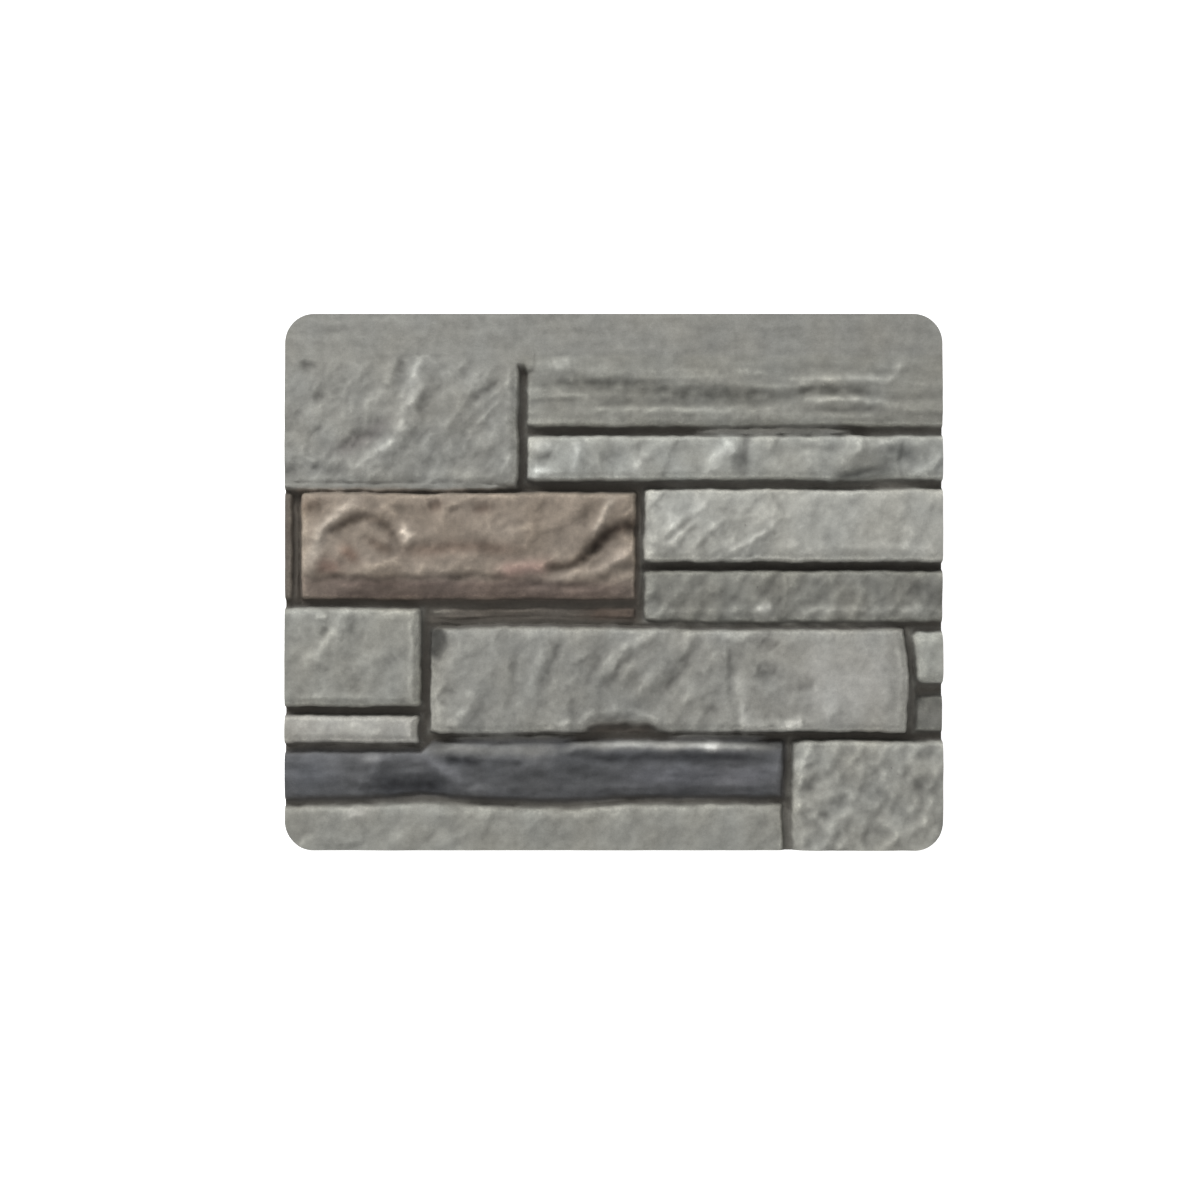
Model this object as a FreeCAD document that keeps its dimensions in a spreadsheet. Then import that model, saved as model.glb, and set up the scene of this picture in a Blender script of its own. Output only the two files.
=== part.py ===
"""Faux stone wall panel: one moulded piece with a flat back and a face of stacked ledge stones.

Units are millimetres. The panel lies on its flat back, face up: +X runs along the courses, +Y towards the
plain top ledge and +Z out of the stone face. The origin is the middle of the back.

The stones are laid out from the lower left corner of the panel, between lines. A line is the middle of a
joint, and every stone stops half a joint short of it, or it is a straight edge of the panel, and the stone
is cut flush there. Each stone is a loft through hewn cross sections, one after the other along its length.
The stones, the backing and the ledge are fused, and the rounded outline cuts the corners of them all.
"""
import FreeCAD, Part
import Sketcher
import math
import os
from collections import namedtuple

SHEET_VALUES = {
    # Panel
    "panel_length": 406.0,
    "corner_radius": 18.0,
    "backing_thickness": 14.0,
    # Heights of the courses on the right, from the bottom edge up
    "base_course": 28.6,
    "dark_course": 41.6,
    "long_course": 69.4,
    "shelf_course": 35.8,
    "block_course": 50.2,
    "strip_course": 33.0,
    "slate_course": 46.9,
    "ledge_height": 25.7,
    # Joint lines on the left, each from the course line that it departs from
    "dark_left_height": 34.6,
    "left_strip_height": 22.8,
    "sliver_height": 12.4,
    "tall_stone_drop": 2.7,
    # Heights and lengths of single stones
    "right_recess_height": 29.0,
    "right_block_drop": 3.0,
    "tall_stone_length": 145.8,
    "end_sliver_length": 6.5,
    "brown_stone_length": 212.7,
    "left_block_length": 87.6,
    "right_block_length": 20.5,
    "corner_stone_length": 95.5,
    # How far each face stands above the floor of the joints
    "ledge_rise": 7.0,
    "tall_stone_rise": 11.0,
    "slate_rise": 9.5,
    "upper_strip_rise": 13.0,
    "end_sliver_rise": 8.0,
    "brown_stone_rise": 12.5,
    "block_rise": 12.0,
    "shelf_rise": 9.0,
    "recess_sliver_rise": 3.0,
    "left_block_rise": 12.0,
    "left_strip_rise": 12.5,
    "long_stone_rise": 14.5,
    "right_block_rise": 13.0,
    "right_recess_rise": 6.0,
    "dark_slate_rise": 10.0,
    "base_stone_rise": 9.5,
    "corner_stone_rise": 12.5,
    # Joints, across their floor, and worn edges
    "bed_joint": 3.6,
    "upright_joint": 3.8,
    "tight_joint": 1.2,
    "wide_joint": 7.6,
    "edge_bevel": 1.7,
    "corner_wear": 1.2,
    "side_draft": 0.5,
    "root_depth": 1.0,
}

# One cross section of a stone. place is its share of the stone's length, or an expression for a place that
# another stone sets. lower, ridge and upper are the heights of the lower rim, the ridge and the upper rim, as
# parts of the stone's rise, and ridge_at is the ridge's place between the rims. lower_chip widens the bevel
# of the lower edge by so many millimetres, and lower_shift and upper_shift move a whole edge up.
Section = namedtuple(
    "Section",
    "place lower ridge upper ridge_at lower_chip lower_shift upper_shift",
    defaults=(0.5, 0.0, 0.0, 0.0),
)

# A joint line with its width, or an edge of the panel, which has none
Line = namedtuple("Line", "place joint", defaults=(None,))

# A stone between four lines
Stone = namedtuple("Stone", "name left right bottom top sections")

# The share of its full height that a stone keeps at the foot of a worn edge
SHOULDER = 0.6

def cell(name):
    return f"Dimensions.{name}"


def total(*terms):
    return "(" + " + ".join(terms) + ")"


def minus(first, second):
    return f"({first} - {second})"


def half(term):
    return f"{term} / 2"


def between(start, end, share):
    """The place at a share of the way from one place to another."""
    return f"({start} + {share} * ({end} - {start}))"


# Course lines on the right, from the bottom edge of the panel up
BED = cell("bed_joint")
TIGHT = cell("tight_joint")
BOTTOM_EDGE = Line("0")
DARK_LINE = Line(cell("base_course"), TIGHT)
LONG_LINE = Line(total(DARK_LINE.place, cell("dark_course")), BED)
SHELF_LINE = Line(total(LONG_LINE.place, cell("long_course")), TIGHT)
BLOCK_LINE = Line(total(SHELF_LINE.place, cell("shelf_course")), BED)
STRIP_LINE = Line(total(BLOCK_LINE.place, cell("block_course")), BED)
SLATE_LINE = Line(total(STRIP_LINE.place, cell("strip_course")), BED)
LEDGE_LINE = Line(total(SLATE_LINE.place, cell("slate_course")))
PANEL_HEIGHT = total(LEDGE_LINE.place, cell("ledge_height"))

# The two uppermost stones run into the plain ledge without a joint
LEDGE_BLEND = Line(total(LEDGE_LINE.place, cell("edge_bevel")), "0")

# Course lines on the left, and the one between the two small stones at the right end
LEFT_STRIP_LINE = Line(total(DARK_LINE.place, cell("dark_left_height")), BED)
LEFT_BLOCK_LINE = Line(total(LEFT_STRIP_LINE.place, cell("left_strip_height")), BED)
BROWN_LINE = Line(total(SHELF_LINE.place, cell("sliver_height")), BED)
TALL_LINE = Line(minus(STRIP_LINE.place, cell("tall_stone_drop")), TIGHT)
RIGHT_BLOCK_LINE = Line(total(LONG_LINE.place, cell("right_recess_height")), cell("wide_joint"))
RIGHT_BLOCK_TOP = Line(minus(SHELF_LINE.place, cell("right_block_drop")), BED)

# Upright lines, from the left edge of the panel
UPRIGHT = cell("upright_joint")
LEFT_EDGE = Line("0")
RIGHT_EDGE = Line(cell("panel_length"))
TALL_END = Line(cell("tall_stone_length"), UPRIGHT)
BROWN_START = Line(cell("end_sliver_length"), UPRIGHT)
BROWN_END = Line(total(BROWN_START.place, cell("brown_stone_length")), UPRIGHT)
LEFT_BLOCK_END = Line(cell("left_block_length"), cell("wide_joint"))
RIGHT_BLOCK_START = Line(minus(RIGHT_EDGE.place, cell("right_block_length")), UPRIGHT)
CORNER_START = Line(minus(RIGHT_EDGE.place, cell("corner_stone_length")), UPRIGHT)

# The dark slate steps down where it passes under the short strip on its left
UNDER_STRIP = minus(LEFT_STRIP_LINE.place, LONG_LINE.place)
STEP_FOOT = minus(LEFT_BLOCK_END.place, half(LEFT_BLOCK_END.joint))
STEP_HEAD = total(LEFT_BLOCK_END.place, half(LEFT_BLOCK_END.joint), cell("edge_bevel"))

# The waving joint between the dark slate and the stone below it: places along it, each with how far the
# joint leaves its line there, in millimetres. Both stones have their cross sections at these places.
DARK_WAVE = [
    (LEFT_EDGE.place, 0.6),
    (between(LEFT_EDGE.place, STEP_FOOT, 0.44), 1.2),
    (between(LEFT_EDGE.place, STEP_FOOT, 0.66), 2.0),
    (between(LEFT_EDGE.place, STEP_FOOT, 0.84), 3.0),
    (STEP_FOOT, 3.2),
    (STEP_HEAD, 2.6),
    (between(STEP_HEAD, CORNER_START.place, 0.12), 0.2),
    (between(STEP_HEAD, CORNER_START.place, 0.22), -1.2),
    (between(STEP_HEAD, CORNER_START.place, 0.36), -1.4),
    (between(STEP_HEAD, CORNER_START.place, 0.52), 1.4),
    (between(STEP_HEAD, CORNER_START.place, 0.78), 1.8),
    (between(STEP_HEAD, CORNER_START.place, 0.96), 2.0),
]


def follow(wave, edge, sections):
    """Put cross sections at the places of a wave, with their lower or upper edge on it."""
    return [section._replace(place=place, **{edge: shift}) for (place, shift), section in zip(wave, sections)]


def shape(lower, ridge, upper, ridge_at, upper_shift=0.0):
    """A cross section whose place is still open."""
    return Section(None, lower, ridge, upper, ridge_at, upper_shift=upper_shift)

STONES = [
    Stone("tall_stone", LEFT_EDGE, TALL_END, TALL_LINE, LEDGE_BLEND, [
        Section(0.00, 0.88, 0.95, 0.66, 0.50),
        Section(0.20, 0.94, 0.84, 0.66, 0.60),
        Section(0.38, 0.96, 1.06, 0.66, 0.22),
        Section(0.50, 0.84, 1.08, 0.66, 0.48),
        Section(0.62, 0.86, 1.10, 0.66, 0.74),
        Section(0.80, 0.90, 0.84, 0.66, 0.60),
        Section(0.97, 0.98, 1.02, 0.70, 0.50),
    ]),
    Stone("slate", TALL_END, RIGHT_EDGE, SLATE_LINE, LEDGE_BLEND, [
        Section(0.03, 0.90, 1.00, 0.76, 0.65),
        Section(0.25, 0.76, 1.04, 0.76, 0.70),
        Section(0.50, 0.88, 0.92, 0.76, 0.50),
        Section(0.64, 0.82, 1.10, 0.76, 0.70),
        Section(0.86, 0.98, 1.06, 0.76, 0.58),
        Section(1.00, 0.92, 0.98, 0.76, 0.50),
    ]),
    Stone("upper_strip", TALL_END, RIGHT_EDGE, STRIP_LINE, SLATE_LINE, [
        Section(0.02, 1.00, 0.96, 0.80, 0.50),
        Section(0.06, 0.88, 0.94, 0.80, 0.60),
        Section(0.12, 0.98, 1.06, 0.78, 0.60),
        Section(0.21, 0.80, 0.86, 0.78, 0.50),
        Section(0.27, 1.02, 0.98, 0.82, 0.40),
        Section(0.36, 0.86, 0.86, 0.80, 0.50),
        Section(0.45, 0.94, 1.08, 0.86, 0.40),
        Section(0.50, 1.02, 1.06, 0.86, 0.60),
        Section(0.53, 0.80, 0.86, 0.80, 0.50),
        Section(0.66, 0.98, 0.96, 0.86, 0.50),
        Section(0.76, 0.92, 1.06, 0.90, 0.60, lower_chip=1.0),
        Section(0.87, 0.60, 1.00, 0.86, 0.70, lower_chip=8.0),
        Section(0.93, 0.84, 0.92, 0.82, 0.50, lower_chip=2.0),
        Section(0.97, 0.96, 0.98, 0.84, 0.50),
        Section(1.00, 0.90, 0.90, 0.80, 0.50),
    ]),
    Stone("end_sliver", LEFT_EDGE, BROWN_START, BROWN_LINE, TALL_LINE, [
        Section(0.00, 0.95, 1.00, 0.95, 0.50),
    ]),
    Stone("brown_stone", BROWN_START, BROWN_END, BROWN_LINE, TALL_LINE, [
        Section(0.01, 0.62, 0.92, 0.84, 0.28),
        Section(0.06, 0.52, 0.96, 1.00, 0.30),
        Section(0.14, 0.50, 0.88, 1.02, 0.28),
        Section(0.26, 0.52, 0.96, 0.84, 0.26),
        Section(0.42, 0.50, 1.00, 0.86, 0.26),
        Section(0.64, 0.54, 0.98, 0.92, 0.25),
        Section(0.78, 0.48, 0.90, 0.98, 0.24),
        Section(0.90, 0.50, 0.84, 1.00, 0.38),
        Section(0.97, 0.66, 1.02, 0.96, 0.44),
    ]),
    Stone("block", BROWN_END, RIGHT_EDGE, BLOCK_LINE, STRIP_LINE, [
        Section(0.02, 0.94, 0.98, 0.90, 0.50),
        Section(0.12, 0.84, 1.06, 0.90, 0.26),
        Section(0.24, 0.82, 1.08, 0.88, 0.44),
        Section(0.38, 0.94, 1.06, 0.86, 0.72),
        Section(0.58, 0.98, 0.94, 0.90, 0.50),
        Section(0.80, 0.88, 1.02, 0.96, 0.40),
        Section(1.00, 0.96, 0.92, 0.90, 0.50),
    ]),
    Stone("shelf", BROWN_END, RIGHT_EDGE, SHELF_LINE, BLOCK_LINE, [
        Section(0.02, 0.78, 0.86, 0.96, 0.50),
        Section(0.30, 0.78, 0.88, 0.98, 0.50),
        Section(0.40, 0.88, 1.06, 0.98, 0.30),
        Section(0.46, 0.70, 0.80, 0.94, 0.50),
        Section(0.75, 0.78, 0.92, 1.02, 0.60),
        Section(1.00, 0.74, 0.86, 0.96, 0.50),
    ]),
    Stone("recess_sliver", LEFT_BLOCK_END, BROWN_END, SHELF_LINE, BROWN_LINE, [
        Section(0.08, 0.90, 1.20, 0.90, 0.60),
        Section(0.50, 0.60, 0.90, 0.80, 0.60),
        Section(0.90, 0.80, 1.00, 0.90, 0.60),
    ]),
    Stone("left_block", LEFT_EDGE, LEFT_BLOCK_END, LEFT_BLOCK_LINE, BROWN_LINE, [
        Section(0.00, 0.92, 0.92, 0.90, 0.50),
        Section(0.20, 0.94, 1.08, 0.88, 0.28),
        Section(0.42, 0.86, 1.08, 0.90, 0.70),
        Section(0.60, 0.90, 0.88, 0.94, 0.60),
        Section(0.92, 0.98, 0.98, 0.98, 0.50),
        Section(0.98, 1.02, 1.04, 1.02, 0.50),
    ]),
    Stone("left_strip", LEFT_EDGE, LEFT_BLOCK_END, LEFT_STRIP_LINE, LEFT_BLOCK_LINE, [
        Section(0.00, 0.96, 0.92, 0.82, 0.50),
        Section(0.50, 1.02, 0.98, 0.86, 0.50),
        Section(0.93, 0.96, 0.94, 0.84, 0.50),
    ]),
    Stone("long_stone", LEFT_BLOCK_END, RIGHT_BLOCK_START, LONG_LINE, SHELF_LINE, [
        Section(0.01, 0.92, 0.84, 0.70, 0.50),
        Section(0.05, 0.98, 0.86, 0.66, 0.60),
        Section(0.12, 0.92, 0.98, 0.86, 0.50),
        Section(0.22, 0.98, 1.04, 0.90, 0.36),
        Section(0.31, 0.90, 0.94, 1.00, 0.60, lower_chip=1.5),
        Section(0.36, 0.56, 1.02, 0.92, 0.50, lower_chip=9.0),
        Section(0.43, 0.66, 1.04, 0.90, 0.56, lower_chip=6.0),
        Section(0.54, 0.88, 1.06, 0.98, 0.56, lower_chip=2.0),
        Section(0.63, 0.96, 0.94, 0.92, 0.50),
        Section(0.66, 1.02, 1.04, 0.96, 0.36),
        Section(0.78, 0.94, 0.98, 0.96, 0.50),
        Section(0.90, 0.92, 1.02, 0.98, 0.50),
        Section(0.99, 0.98, 0.98, 0.96, 0.50),
    ]),
    Stone("right_block", RIGHT_BLOCK_START, RIGHT_EDGE, RIGHT_BLOCK_LINE, RIGHT_BLOCK_TOP, [
        Section(0.20, 0.92, 1.00, 0.92, 0.50),
        Section(1.00, 0.96, 0.96, 0.88, 0.40),
    ]),
    Stone("right_recess", RIGHT_BLOCK_START, RIGHT_EDGE, LONG_LINE, RIGHT_BLOCK_LINE, [
        Section(0.20, 0.80, 0.90, 1.00, 0.50),
        Section(1.00, 0.75, 0.90, 1.05, 0.50),
    ]),
    Stone("dark_slate", LEFT_EDGE, CORNER_START, DARK_LINE, LONG_LINE, follow(DARK_WAVE, "lower_shift", [
        shape(0.80, 0.98, 0.88, 0.60, UNDER_STRIP),
        shape(0.82, 1.02, 0.90, 0.66, UNDER_STRIP),
        shape(0.74, 0.90, 0.84, 0.60, UNDER_STRIP),
        shape(0.56, 0.66, 0.80, 0.60, UNDER_STRIP),
        shape(0.54, 0.70, 0.84, 0.60, UNDER_STRIP),
        shape(0.52, 0.84, 0.84, 0.60),
        shape(0.72, 1.00, 0.80, 0.50),
        shape(0.70, 0.98, 0.80, 0.62),
        shape(0.64, 1.02, 0.78, 0.80),
        shape(0.60, 1.06, 0.76, 0.84),
        shape(0.66, 1.10, 0.76, 0.84),
        shape(0.70, 1.00, 0.76, 0.82),
    ])),
    Stone("base_stone", LEFT_EDGE, CORNER_START, BOTTOM_EDGE, DARK_LINE, follow(DARK_WAVE, "upper_shift", [
        shape(0.96, 0.92, 0.90, 0.60),
        shape(0.96, 1.06, 0.94, 0.80),
        shape(0.98, 1.00, 0.90, 0.70),
        shape(1.00, 0.96, 0.86, 0.60),
        shape(0.98, 0.92, 0.84, 0.60),
        shape(0.96, 0.90, 0.86, 0.60),
        shape(1.00, 0.96, 0.90, 0.60),
        shape(0.96, 0.98, 0.94, 0.60),
        shape(0.92, 1.00, 0.96, 0.70),
        shape(1.00, 0.94, 0.90, 0.50),
        shape(0.94, 1.00, 0.92, 0.60),
        shape(0.96, 0.98, 0.94, 0.60),
    ])),
    Stone("corner_stone", CORNER_START, RIGHT_EDGE, BOTTOM_EDGE, LONG_LINE, [
        Section(0.06, 0.92, 0.96, 0.96, 0.50),
        Section(0.30, 0.96, 1.06, 0.90, 0.60),
        Section(0.60, 0.88, 0.92, 1.00, 0.40),
        Section(0.80, 1.00, 1.02, 0.90, 0.70),
        Section(1.00, 0.92, 0.92, 0.90, 0.50),
    ]),
]


def make_sheet(doc):
    """The driving dimensions, one row each: its name in column A and its value in column B."""
    sheet = doc.addObject("Spreadsheet::Sheet", "Dimensions")
    for row, (name, value) in enumerate(SHEET_VALUES.items(), start=1):
        sheet.set(f"A{row}", name)
        sheet.set(f"B{row}", str(value))
        sheet.setAlias(f"B{row}", name)
    doc.recompute()
    return sheet


def flat_sketch(body, name):
    """An empty sketch on the ground plane of a body."""
    sketch = body.newObject("Sketcher::SketchObject", name)
    ground = next(feature for feature in body.Origin.OriginFeatures if feature.Role == "XY_Plane")
    sketch.AttachmentSupport = [(ground, "")]
    sketch.MapMode = "FlatFace"
    return sketch


def dimension(sketch, driven):
    """Add dimensions in one call, each a constraint with the expression that drives it."""
    indices = sketch.addConstraint([constraint for constraint, expression in driven])
    for index, (constraint, expression) in zip(indices, driven):
        sketch.setExpression(f"Constraints[{index}]", expression)


def add_polygon(sketch, corners, value):
    """A closed outline of straight lines. Both coordinates of every corner are driven by expressions."""
    points = [FreeCAD.Vector(value(across), value(up), 0) for across, up in corners]
    count = len(points)
    sketch.addGeometry([Part.LineSegment(points[i], points[(i + 1) % count]) for i in range(count)])
    sketch.addConstraint([Sketcher.Constraint("Coincident", i, 2, (i + 1) % count, 1) for i in range(count)])
    driven = []
    for i, (across, up) in enumerate(corners):
        driven.append((Sketcher.Constraint("DistanceX", -1, 1, i, 1, points[i].x), across))
        driven.append((Sketcher.Constraint("DistanceY", -1, 1, i, 1, points[i].y), up))
    dimension(sketch, driven)


def add_rounded_outline(sketch, value):
    """The outline of the panel: a rectangle from the origin with four equal round corners."""
    length = value(RIGHT_EDGE.place)
    height = value(PANEL_HEIGHT)
    radius = value(cell("corner_radius"))
    point = FreeCAD.Vector
    sides = sketch.addGeometry([
        Part.LineSegment(point(radius, 0, 0), point(length - radius, 0, 0)),
        Part.LineSegment(point(length, radius, 0), point(length, height - radius, 0)),
        Part.LineSegment(point(length - radius, height, 0), point(radius, height, 0)),
        Part.LineSegment(point(0, height - radius, 0), point(0, radius, 0)),
    ])
    base, right_side, top_side, left_side = sides
    centres = [
        point(length - radius, radius, 0),
        point(length - radius, height - radius, 0),
        point(radius, height - radius, 0),
        point(radius, radius, 0),
    ]
    quarter = math.pi / 2
    arcs = sketch.addGeometry([
        Part.ArcOfCircle(Part.Circle(centre, point(0, 0, 1), radius), quarter * (turn - 1), quarter * turn)
        for turn, centre in enumerate(centres)
    ])
    constraints = [Sketcher.Constraint("Tangent", side, 2, arc, 1) for side, arc in zip(sides, arcs)]
    constraints += [
        Sketcher.Constraint("Tangent", arc, 2, sides[(turn + 1) % 4], 1) for turn, arc in enumerate(arcs)
    ]
    constraints += [Sketcher.Constraint("Horizontal", side) for side in (base, top_side)]
    constraints += [Sketcher.Constraint("Vertical", side) for side in (right_side, left_side)]
    constraints += [Sketcher.Constraint("Equal", arcs[0], arc) for arc in arcs[1:]]
    constraints += [
        Sketcher.Constraint("PointOnObject", base, 1, -1),
        Sketcher.Constraint("PointOnObject", left_side, 1, -2),
    ]
    sketch.addConstraint(constraints)
    dimension(sketch, [
        (Sketcher.Constraint("Radius", arcs[0], radius), cell("corner_radius")),
        (Sketcher.Constraint("DistanceX", -1, 1, right_side, 1, length), RIGHT_EDGE.place),
        (Sketcher.Constraint("DistanceY", -1, 1, top_side, 1, height), PANEL_HEIGHT),
    ])


def pad(body, sketch, name, height):
    feature = body.newObject("PartDesign::Pad", name)
    feature.Profile = sketch
    feature.setExpression("Length", height)
    return feature


def make_backing(doc, value):
    """The web behind the stones, with the plain low ledge that the uppermost stones run into."""
    body = doc.addObject("PartDesign::Body", "Backing")
    sketch = flat_sketch(body, "BackingOutline")
    corners = [("0", "0"), (RIGHT_EDGE.place, "0"), (RIGHT_EDGE.place, PANEL_HEIGHT), ("0", PANEL_HEIGHT)]
    add_polygon(sketch, corners, value)
    pad(body, sketch, "BackingPad", cell("backing_thickness"))
    sketch = flat_sketch(body, "LedgeOutline")
    corners[0] = ("0", LEDGE_LINE.place)
    corners[1] = (RIGHT_EDGE.place, LEDGE_LINE.place)
    add_polygon(sketch, corners, value)
    pad(body, sketch, "LedgePad", total(cell("backing_thickness"), cell("ledge_rise")))
    return body


def section_corners(stone, section, worn_end):
    """The corners of one cross section, each an expression for its place across the panel and its height."""
    wear = cell("corner_wear") if worn_end else "0"
    part = SHOULDER if worn_end else 1.0
    if stone.bottom.joint is None:
        lower_foot = lower_shoulder = lower_rim = stone.bottom.place
    else:
        lower_foot = f"({stone.bottom.place} + {half(stone.bottom.joint)} + {section.lower_shift} + {wear})"
        lower_shoulder = total(lower_foot, cell("side_draft"))
        lower_rim = f"({lower_foot} + {cell('edge_bevel')} + {section.lower_chip})"
    upper_foot = f"({stone.top.place} - {half(stone.top.joint)} + {section.upper_shift} - {wear})"
    upper_shoulder = minus(upper_foot, cell("side_draft"))
    upper_rim = minus(upper_foot, cell("edge_bevel"))
    ridge = f"({lower_rim} + {section.ridge_at} * ({upper_rim} - {lower_rim}))"

    def height(rise_part):
        return f"({cell('backing_thickness')} + {rise_part * part:.3f} * {cell(stone.name + '_rise')})"

    root = minus(cell("backing_thickness"), cell("root_depth"))
    return [
        (lower_foot, root),
        (lower_shoulder, height(section.lower * SHOULDER)),
        (lower_rim, height(section.lower)),
        (ridge, height(section.ridge)),
        (upper_rim, height(section.upper)),
        (upper_shoulder, height(section.upper * SHOULDER)),
        (upper_foot, root),
    ]


def add_section(doc, name, place, corners, value):
    """A closed cross section on a plane across the panel, at a place along its length."""
    sketch = doc.addObject("Sketcher::SketchObject", name)
    across_the_panel = FreeCAD.Rotation(FreeCAD.Vector(1, 1, 1), 120)
    sketch.Placement = FreeCAD.Placement(FreeCAD.Vector(value(place), 0, 0), across_the_panel)
    sketch.setExpression(".Placement.Base.x", place)
    add_polygon(sketch, corners, value)
    return sketch


def make_stone(doc, stone, value):
    """One stone, lofted through its cross sections. An end at a joint is worn back like the long edges."""
    left = stone.left.place
    right = stone.right.place
    first = stone.sections[0]
    last = stone.sections[-1]
    places = []
    if stone.left.joint is not None:
        left = total(left, half(stone.left.joint))
        places.append((left, first, True))
        left = total(left, cell("edge_bevel"))
    if stone.right.joint is not None:
        right = minus(right, half(stone.right.joint))
        end = right
        right = minus(right, cell("edge_bevel"))
    for section in stone.sections:
        place = section.place
        if isinstance(place, float):
            place = between(left, right, place)
        places.append((place, section, False))
    if stone.right.joint is not None:
        places.append((right, last, False))
        places.append((end, last, True))
    sketches = []
    for number, (place, section, worn_end) in enumerate(places):
        corners = section_corners(stone, section, worn_end)
        sketches.append(add_section(doc, f"{stone.name}_section_{number}", place, corners, value))
    loft = doc.addObject("Part::Loft", stone.name)
    loft.Sections = sketches
    loft.Solid = True
    loft.Ruled = True
    return loft


def make_outline(doc, value):
    """The rounded outline of the panel, tall enough to clear every stone."""
    body = doc.addObject("PartDesign::Body", "Outline")
    sketch = flat_sketch(body, "PanelOutline")
    add_rounded_outline(sketch, value)
    pad(body, sketch, "OutlinePad", f"({cell('backing_thickness')} + 2 * {cell('long_stone_rise')})")
    return body


def check(doc, panel):
    """Stop before anything is written if an object failed or the panel isn't one sound solid."""
    for item in doc.Objects:
        if "Invalid" in item.State or "Error" in item.State:
            raise RuntimeError(f"{item.Name} failed: {item.State}")
    if panel.Shape.isNull() or not panel.Shape.isValid():
        raise RuntimeError("the panel has no sound shape")
    if len(panel.Shape.Solids) != 1:
        raise RuntimeError(f"the panel is {len(panel.Shape.Solids)} solids")


def main():
    doc = FreeCAD.newDocument("StonePanel")
    sheet = make_sheet(doc)

    def value(expression):
        return float(sheet.evalExpression(expression))

    backing = make_backing(doc, value)
    stones = [make_stone(doc, stone, value) for stone in STONES]
    square = doc.addObject("Part::MultiFuse", "SquarePanel")
    square.Shapes = [backing] + stones
    square.Refine = True
    panel = doc.addObject("Part::Common", "Panel")
    panel.Label = "stone_panel"
    panel.Base = square
    panel.Tool = make_outline(doc, value)
    panel.setExpression(".Placement.Base.x", f"-{half(RIGHT_EDGE.place)}")
    panel.setExpression(".Placement.Base.y", f"-{half(PANEL_HEIGHT)}")
    doc.recompute()
    check(doc, panel)

    os.makedirs("parts", exist_ok=True)
    panel.Shape.exportStep(f"parts/{panel.Label}.step")
    box = panel.Shape.BoundBox
    print(f"{panel.Label}: {box.XLength:.1f} x {box.YLength:.1f} x {box.ZLength:.1f} mm,"
          f" {panel.Shape.Volume / 1000:.0f} cm3, {len(panel.Shape.Faces)} faces")


main()
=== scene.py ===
"""The looks of the faux stone wall panel: weathered ledge stone, moulded and painted, around the CAD frame.

The stone face is one closed mesh that stands for the CAD node. Its base is a height map read from the node,
and hewn relief is worked into it stone by stone: split ridges, hollows, layers and chips. Paint, with
painted shade in the joints and painted light and shade on the relief, is an attribute at the corners of the
faces, and so is a mask of high spots and hollows. A node material adds grain, mottling and pale brushed high
spots, partly dry-brushed paint and partly painted highlight.

Lengths here are millimetres until a mesh is made. Marks on the face are placed by pixels of the 1200 x 1200
photograph, which sees the face square on.
"""

import math
from collections import namedtuple

import bpy
import numpy as np
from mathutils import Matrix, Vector
from mathutils.bvhtree import BVHTree


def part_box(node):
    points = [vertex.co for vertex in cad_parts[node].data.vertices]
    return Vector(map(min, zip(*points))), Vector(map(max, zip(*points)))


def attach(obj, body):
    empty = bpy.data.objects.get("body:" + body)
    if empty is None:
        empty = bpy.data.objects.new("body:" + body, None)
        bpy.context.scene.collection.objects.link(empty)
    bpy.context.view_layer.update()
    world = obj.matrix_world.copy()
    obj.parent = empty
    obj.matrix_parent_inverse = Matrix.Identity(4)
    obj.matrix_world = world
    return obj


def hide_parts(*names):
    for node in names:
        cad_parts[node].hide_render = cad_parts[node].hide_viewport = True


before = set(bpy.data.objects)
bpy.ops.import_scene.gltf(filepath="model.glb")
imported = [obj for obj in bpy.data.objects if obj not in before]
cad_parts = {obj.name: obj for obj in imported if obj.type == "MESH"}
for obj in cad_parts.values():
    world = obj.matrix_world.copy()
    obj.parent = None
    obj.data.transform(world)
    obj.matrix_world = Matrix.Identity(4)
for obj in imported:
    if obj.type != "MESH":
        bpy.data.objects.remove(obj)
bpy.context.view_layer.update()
NODE = "stone_panel"
MM = 0.001

# The photograph: where its pixels lie on the face of the panel
PHOTO_SIZE = 1200
PANEL_CENTRE_PIXEL = (613.75, 581.9)
MM_PER_PIXEL = 0.6166

# The panel: its box from the frame, and the radius and levels that its CAD model has
low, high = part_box(NODE)
LENGTH = (high.x - low.x) / MM
HEIGHT = (high.y - low.y) / MM
TOP = high.z / MM
CORNER_RADIUS = 18.0
FLOOR = 14.0
LEDGE_LEVEL = 21.0

# Steps of the height map and of the rows of the mesh
MAP_STEP = 0.55
CORNER_ROWS = 40
FACE_TRIANGLES = 188_000

# Rings of points down the straight sides: their height, and how far they are drawn in to bevel the back
BACK_BEVEL = 1.2
SIDE_RINGS = ((FLOOR * 0.66, 0.0), (FLOOR * 0.33, 0.0), (BACK_BEVEL, 0.0), (0.0, BACK_BEVEL))

# A face of the mesh belongs to a side if it lies this near the outline and its normal rises less than this
SIDE_REACH = 0.3
SIDE_SLOPE = 0.3

# The floor, in metres: how far it reaches and how far it lies under the panel
FLOOR_REACH = 60.0
FLOOR_GAP = 0.0005

# The level at which the camera frames the panel, as a share of its height
FRAMED_LEVEL = 0.8

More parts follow.
